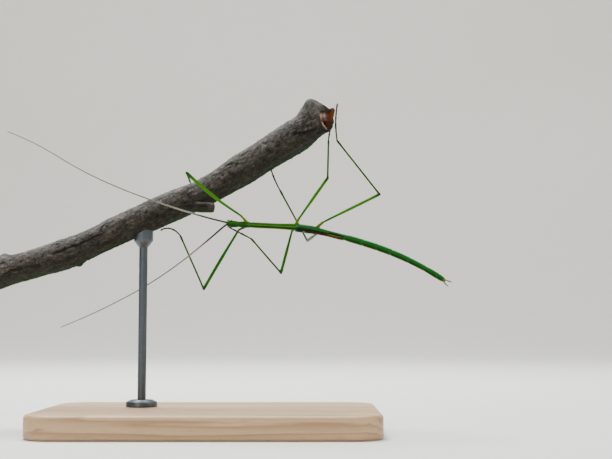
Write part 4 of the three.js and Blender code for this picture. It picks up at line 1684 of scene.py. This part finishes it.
def bark_coats(distance, degrees, patchy, speckle):
    """How weathered, shaded, green and crusted the bark is at a place."""
    below = abs(degrees)
    scattered = step_up(speckle, -0.8, -0.2)
    return {
        # Painted highlight: the bark is pale round its top.
        "Weathered": bell(degrees + 8, 58) * (0.75 + 0.5 * patchy),
        # Painted shade: the bark darkens round its underside.
        "Under": step_up(below + 14 * patchy + 8 * speckle, 74, 122),
        "Algae": max(
            step_up(below + 10 * speckle, 146, 164) * (1 - step_up(distance, 130, 133)),
            bell(distance - 130.4, 1.9) * bell(degrees + 4, 30) * scattered,
            step_up(distance, 133.5, 135) * bell(degrees - 2, 30) * scattered,
        ),
        "Lichen": max(
            step_up(patchy, 0.2, 0.45) * step_up(speckle, -0.2, 0.2) * 0.5,
            0.9 * bell(distance - 99, 4.5) * bell(degrees + 66, 26) * step_up(speckle, -0.3, 0.15),
        ),
    }


def branch_mesh():
    """The branch with its bark, torn end and sawn end, and the masks of its material."""
    outer = span(0, KNOB_START, BARK_STEP) + span(KNOB_START, BRANCH_LENGTH, KNOB_STEP)[1:]
    start_caps = [ring / SAWN_RINGS for ring in range(1, SAWN_RINGS)]
    end_caps = [ring / TORN_RINGS for ring in range(TORN_RINGS - 1, 0, -1)]
    rows = [(0, value_at(BRANCH_RADII, 0) * share) for share in start_caps]
    rows += [(distance, value_at(BRANCH_RADII, distance)) for distance in outer]
    rows += [(BRANCH_LENGTH, value_at(BRANCH_RADII, BRANCH_LENGTH) * share) for share in end_caps]
    form = turned("branch_form", rows, BRANCH_SIDES)
    masks = {name: [] for name in MASKS}
    faces = []
    straight = []
    ends = {}
    strength = branch_settings().relief

    def place(co):
        angle = math.atan2(co.x, -co.y)
        plain = value_at(BRANCH_RADII, co.z)
        share = math.hypot(co.x, co.y) / plain
        outside = share > 0.999
        on_start = co.z < 1e-3 and not outside
        on_end = co.z > BRANCH_LENGTH - 1e-3
        distance = co.z
        values = dict.fromkeys(MASKS, 0.0)
        if co.z > KNOB_START:
            key = (round(angle, 4), round(share, 3))
            if key not in ends:
                ends[key] = break_distance(angle, share)
            edge = ends[key]
            jag = 0.5 * noise_round(angle, 5, 2.2) if share > 0.9 else 0
            through = (co.z - KNOB_START) / (BRANCH_LENGTH - KNOB_START)
            distance = KNOB_START + (edge + jag * through ** 3 - KNOB_START) * through
        radius = share * branch_radius(distance, angle)
        face = BLACK
        patchy = noise_round(angle, 2.2, distance / 5)
        speckle = noise_round(angle, 6, distance / 1.5)
        if outside:
            fade = step_up(co.z, 0, 0.8) * (1 - 0.8 * step_up(co.z, BRANCH_LENGTH - 2, BRANCH_LENGTH))
            relief = bark_relief(distance, angle)
            crack = crack_depth(distance, angle)
            radius += (relief - crack) * strength * fade
            # Cracks and low relief darken: partly dark bark, partly painted shade in the recesses.
            values["Deep"] = min(1, crack / 0.4 + 0.8 * step_up(-relief, 0.12, 0.4))
        if outside or on_end:
            values.update(bark_coats(distance, math.degrees(angle), patchy, speckle))
        spot = branch_place(distance, angle, radius)
        if on_start:
            values["Sawn"] = 1
            values["Ring"] = share * 7
        if on_end:
            off = spot - BREAK_POINT
            flat = (off.dot(BREAK_ACROSS), off.dot(BREAK_UP))
            values["Torn"], out, face = torn_face(flat)
            lip = step_up(1 - share, 0, 0.1)
            lumps = 0.3 * noise.noise((flat[0] * 1.3, flat[1] * 1.3, 11)) * lip
            spot = spot + BREAK_NORMAL * (out * step_up(1 - share, 0, 0.06) + lumps)
            outside_window = step_up(-inside_window(flat), 0.1, 0.8)
            # Outside the window, the break's face darkens towards its bottom.
            values["Deep"] = 0.75 * step_up(-flat[1], 0.5, 2.5) * outside_window
        faces.append((*face, 1))
        for name, value in values.items():
            masks[name].append(value)
        straight.append((plain * share * math.sin(angle), plain * share * math.cos(angle), distance))
        return spot

    move_vertices(form, place)
    write_paint(form, masks, straight, faces)
    return form


def stub_mesh():
    """The stub of a broken twig, with a pit in its end."""
    rows = [(-2.2, 1.3), *[(d, smooth_value_at(STUB_RADII, d)) for d in span(0, STUB_LENGTH, 0.25)]]
    pit = STUB_PIT["radius"]
    rows += [(STUB_LENGTH + 0.05, 1.2), (STUB_LENGTH, pit), (STUB_LENGTH - 0.8, pit * 0.85),
             (STUB_LENGTH - STUB_PIT["depth"], pit * 0.5)]
    form = turned("stub_form", rows, 48)
    straight = []
    faces = []
    masks = {name: [] for name in MASKS if name not in ("Sawn", "Ring")}

    def place(co):
        angle = math.atan2(co.x, -co.y)
        radius = math.hypot(co.x, co.y)
        inside = co.z > STUB_LENGTH - 2 and radius < 1.25
        relief = 0
        speckle = noise_round(angle, 3, co.z / 0.9)
        if not inside and radius > 0.1:
            ridge = 0.5 - abs(noise_round(angle, 1.6, co.z / 3))
            relief = 0.28 * (0.4 - max(0, ridge * 2 - 0.2)) + 0.08 * speckle
        factor = 1 + relief / max(radius, 0.1)
        point, _, side, under = stub_path.at(co.z)
        straight.append((co.x + 20, co.y, co.z))
        below = abs(math.degrees(angle))
        rim = step_up(co.z + 0.25 * speckle, STUB_LENGTH - 0.35, STUB_LENGTH - 0.1)
        masks["Torn"].append(1.0 if inside else rim)
        # Painted shadow: a dark band along each side of the stub, below its upper half.
        side_shadow = bell(below - 78, 26) * step_up(co.z, 1, 4) * (1 - step_up(co.z, 9.8, 11))
        # Low places on the stub darken too: partly dark bark, partly painted shade in the recesses.
        masks["Deep"].append(max(side_shadow, 0.6 * step_up(-relief, 0.02, 0.2)))
        # Painted highlight: the stub is pale along its top.
        masks["Weathered"].append(0.5 * bell(below - 20, 30))
        # Painted shade: the stub darkens along its underside.
        masks["Under"].append(step_up(below + 12 * speckle, 50, 80) * (1 - 0.6 * step_up(co.z, 10, 11)))
        masks["Lichen"].append(0.9 * bell(below - 42, 16) * step_up(co.z, 5, 8))
        masks["Algae"].append(step_up(below + 10 * speckle, 118, 138))
        face = layered(
            STUB_RIM,
            (STUB_RIM_DARK, step_up(speckle, -0.3, 0.3)),
            # Painted shade: near black in the pit at the stub's end.
            (STUB_PIT_BLACK, 1 - step_up(radius, pit * 0.7, pit * 1.05)),
        )
        faces.append((*face, 1))
        return point + side * co.x * factor + under * co.y * factor

    move_vertices(form, place)
    write_paint(form, masks, straight, faces)
    return form


def unite_painted(form, added):
    """Unites two painted forms; every vertex keeps the paint that lay nearest to it."""
    spots = []
    paint = {name: [] for name in PAINT}
    for source in (form, added):
        spots += [vertex.co.copy() for vertex in source.data.vertices]
        for name, kind in PAINT.items():
            layer = source.data.attributes.get(name)
            if layer is None:
                paint[name] += [0.0] * len(source.data.vertices)
            elif kind == "FLOAT":
                paint[name] += [item.value for item in layer.data]
            else:
                paint[name] += [tuple(getattr(item, FIELDS[kind])) for item in layer.data]
    tree = kdtree.KDTree(len(spots))
    for index, spot in enumerate(spots):
        tree.insert(spot, index)
    tree.balance()
    cut(form, added, "UNION")
    nearest = [tree.find(vertex.co)[1] for vertex in form.data.vertices]
    for name, kind in PAINT.items():
        form.data.attributes.remove(form.data.attributes[name])
        write_attribute(form, name, kind, [paint[name][index] for index in nearest])


class STICKINSECT_OT_branch(bpy.types.Operator):
    """Make the broken branch with its bark, stub and torn end"""

    bl_idname = "stickinsect.branch"
    bl_label = "Branch"

    def execute(self, context):
        branch = branch_mesh()
        unite_painted(branch, stub_mesh())
        finish_piece(branch, "branch_wood", bark_material(), ["branch"])
        return {"FINISHED"}


# ------------------------------------------------------------------------------- stand

def stand_base():
    """The wooden base: a block with rounded corners and softened edges."""
    settings = stand_settings()
    wide = settings.base_length / MM
    deep = settings.base_width / MM
    high = settings.base_height / MM
    base = start_primitive(bpy.ops.mesh.primitive_cube_add, "base", size=1)
    bpy.ops.transform.resize(value=(wide, deep, high))
    bpy.ops.transform.translate(value=(0, 0, high / 2))
    pick_edges(base, lambda rise: rise > high / 2)
    bpy.ops.mesh.bevel(offset=settings.corner / MM, segments=14, affect="EDGES")
    pick_edges(base, lambda rise: rise < 1e-3)
    bpy.ops.mesh.bevel(offset=SOFT_EDGE, segments=5, affect="EDGES")
    bpy.ops.mesh.select_all(action="SELECT")
    bpy.ops.mesh.normals_make_consistent(inside=False)
    object_mode()
    return base


def upright(rows, sides, bottom):
    """A turned form on the stand's rod line, with its foot at a height."""
    form = turned("upright", rows, sides)
    move_vertices(form, lambda co: co + Vector((STAND_X, STAND_Y, bottom)))
    return form


class STICKINSECT_OT_stand(bpy.types.Operator):
    """Make the display stand"""

    bl_idname = "stickinsect.stand"
    bl_label = "Stand"

    def execute(self, context):
        settings = stand_settings()
        base = stand_base()
        finish_piece(base, "stand_wooden_base", wood_material(), ["stand_base"], 30)
        steel = steel_material()
        top = settings.base_height / MM
        rod = settings.rod / MM
        flange = upright(FLANGE_RADII, 64, top)
        finish_piece(flange, "stand_steel_flange", steel, ["stand_flange"], 30)
        high = SADDLE_FOOT - top - FLANGE_HEIGHT
        stem = upright([(0, rod), (high, rod)], 40, top + FLANGE_HEIGHT)
        finish_piece(stem, "stand_steel_rod", steel, ["stand_rod"], 30)
        saddle = upright(SADDLE_RADII, 64, SADDLE_FOOT)
        rows = [(d, value_at(BRANCH_RADII, d) + SADDLE_GAP) for d in span(30, 90, 1.5)]
        cutter = turned("cutter", rows, 72)
        lay(cutter, branch_path, 1, lambda d, angle: 1 + swelling(d, angle) / BRANCH_MEAN_RADIUS)
        cut(saddle, cutter)
        finish_piece(saddle, "stand_steel_saddle", steel, ["stand_saddle"], 30)
        return {"FINISHED"}


# ------------------------------------------------------------------------------ studio

def add_light(name, place, target, size, power, shade):
    """A round light at a place, turned to its target."""
    bpy.ops.object.light_add(type="AREA", location=place)
    lamp = bpy.context.object
    lamp.name = name
    lamp.data.shape = "DISK"
    lamp.data.size = size
    lamp.data.energy = power
    lamp.data.color = shade
    toward = Vector(target) - Vector(place)
    lamp.rotation_euler = toward.to_track_quat("-Z", "Y").to_euler()


class STICKINSECT_OT_studio(bpy.types.Operator):
    """Make the floor with its round sweep, the lights and the camera"""

    bl_idname = "stickinsect.studio"
    bl_label = "Studio"

    def execute(self, context):
        settings = studio_settings()
        here = SWEEP[0]
        sweep = start_primitive(
            bpy.ops.mesh.primitive_circle_add, "floor", vertices=96, radius=here[1], fill_type="NGON"
        )
        pick_edges(sweep, lambda rise: True)
        for there in SWEEP[1:]:
            rise = (0, 0, there[0] - here[0])
            bpy.ops.mesh.extrude_edges_move(TRANSFORM_OT_translate={"value": rise})
            share = there[1] / here[1]
            bpy.ops.transform.resize(value=(share, share, 1))
            here = there
        bpy.ops.mesh.select_all(action="SELECT")
        bpy.ops.mesh.normals_make_consistent(inside=True)
        object_mode()
        modify(sweep, "SUBSURF", levels=2, render_levels=2)
        select_only(sweep)
        bpy.ops.object.shade_smooth()
        made, tree, shader = new_material("Studio Floor")
        place = add_node(tree, "ShaderNodeTexCoord").outputs["Object"]
        tint, _ = mottled(tree, tuple(settings.floor), place, 1.5, 60.0, 0.02)
        wire(tree, shader, Base_Color=tint, Roughness=0.75)
        sweep.data.materials.append(made)

        for name, spot, target, size, power, share, shade in LIGHTS:
            add_light(name, spot, target, size, getattr(settings, power) * share, shade)
        world = bpy.data.worlds.new("Studio")
        world.use_nodes = True
        background = world.node_tree.nodes["Background"]
        background.inputs["Color"].default_value = SKY["shade"]
        background.inputs["Strength"].default_value = SKY["strength"]
        context.scene.world = world

        bpy.ops.object.camera_add(
            location=CAMERA["place"], rotation=(math.radians(CAMERA["tilt"]), 0, 0)
        )
        camera = bpy.context.object
        camera.data.lens = settings.lens
        camera.data.sensor_width = CAMERA["sensor"]
        camera.data.clip_start = CAMERA["near"]
        context.scene.camera = camera
        return {"FINISHED"}


# ------------------------------------------------------------------------------- panel

class STICKINSECT_PT_panel(bpy.types.Panel):
    """The sidebar's list of settings and pieces"""

    bl_label = "Stick Insect"
    bl_idname = "STICKINSECT_PT_panel"
    bl_space_type = "VIEW_3D"
    bl_region_type = "UI"
    bl_category = "Stick Insect"

    def draw(self, context):
        for title, (group, pointer, operators) in GROUPS.items():
            box = self.layout.box()
            box.label(text=title)
            settings = getattr(context.scene, pointer)
            for key in group.__annotations__:
                box.prop(settings, key)
            for operator in operators:
                box.operator(operator.bl_idname)


GROUPS = {
    "Insect": (InsectSettings, "stick_insect", (
        STICKINSECT_OT_skin, STICKINSECT_OT_eyes, STICKINSECT_OT_feelers, STICKINSECT_OT_claspers,
        STICKINSECT_OT_wings, STICKINSECT_OT_claws,
    )),
    "Branch": (BranchSettings, "stick_insect_branch", (STICKINSECT_OT_branch,)),
    "Stand": (StandSettings, "stick_insect_stand", (STICKINSECT_OT_stand,)),
    "Studio": (StudioSettings, "stick_insect_studio", (STICKINSECT_OT_studio,)),
}


def register():
    for group, pointer, operators in GROUPS.values():
        bpy.utils.register_class(group)
        setattr(bpy.types.Scene, pointer, bpy.props.PointerProperty(type=group))
        for operator in operators:
            bpy.utils.register_class(operator)
    bpy.utils.register_class(STICKINSECT_PT_panel)


def unregister():
    bpy.utils.unregister_class(STICKINSECT_PT_panel)
    for group, pointer, operators in GROUPS.values():
        for operator in operators:
            bpy.utils.unregister_class(operator)
        delattr(bpy.types.Scene, pointer)
        bpy.utils.unregister_class(group)


def main():
    """Makes every piece in order."""
    random.seed(7)
    noise.seed_set(7)
    register()
    bpy.ops.stickinsect.branch()
    bpy.ops.stickinsect.stand()
    bpy.ops.stickinsect.skin()
    bpy.ops.stickinsect.eyes()
    bpy.ops.stickinsect.feelers()
    bpy.ops.stickinsect.claspers()
    bpy.ops.stickinsect.wings()
    bpy.ops.stickinsect.claws()
    bpy.ops.stickinsect.studio()


if __name__ == "__main__":
    main()
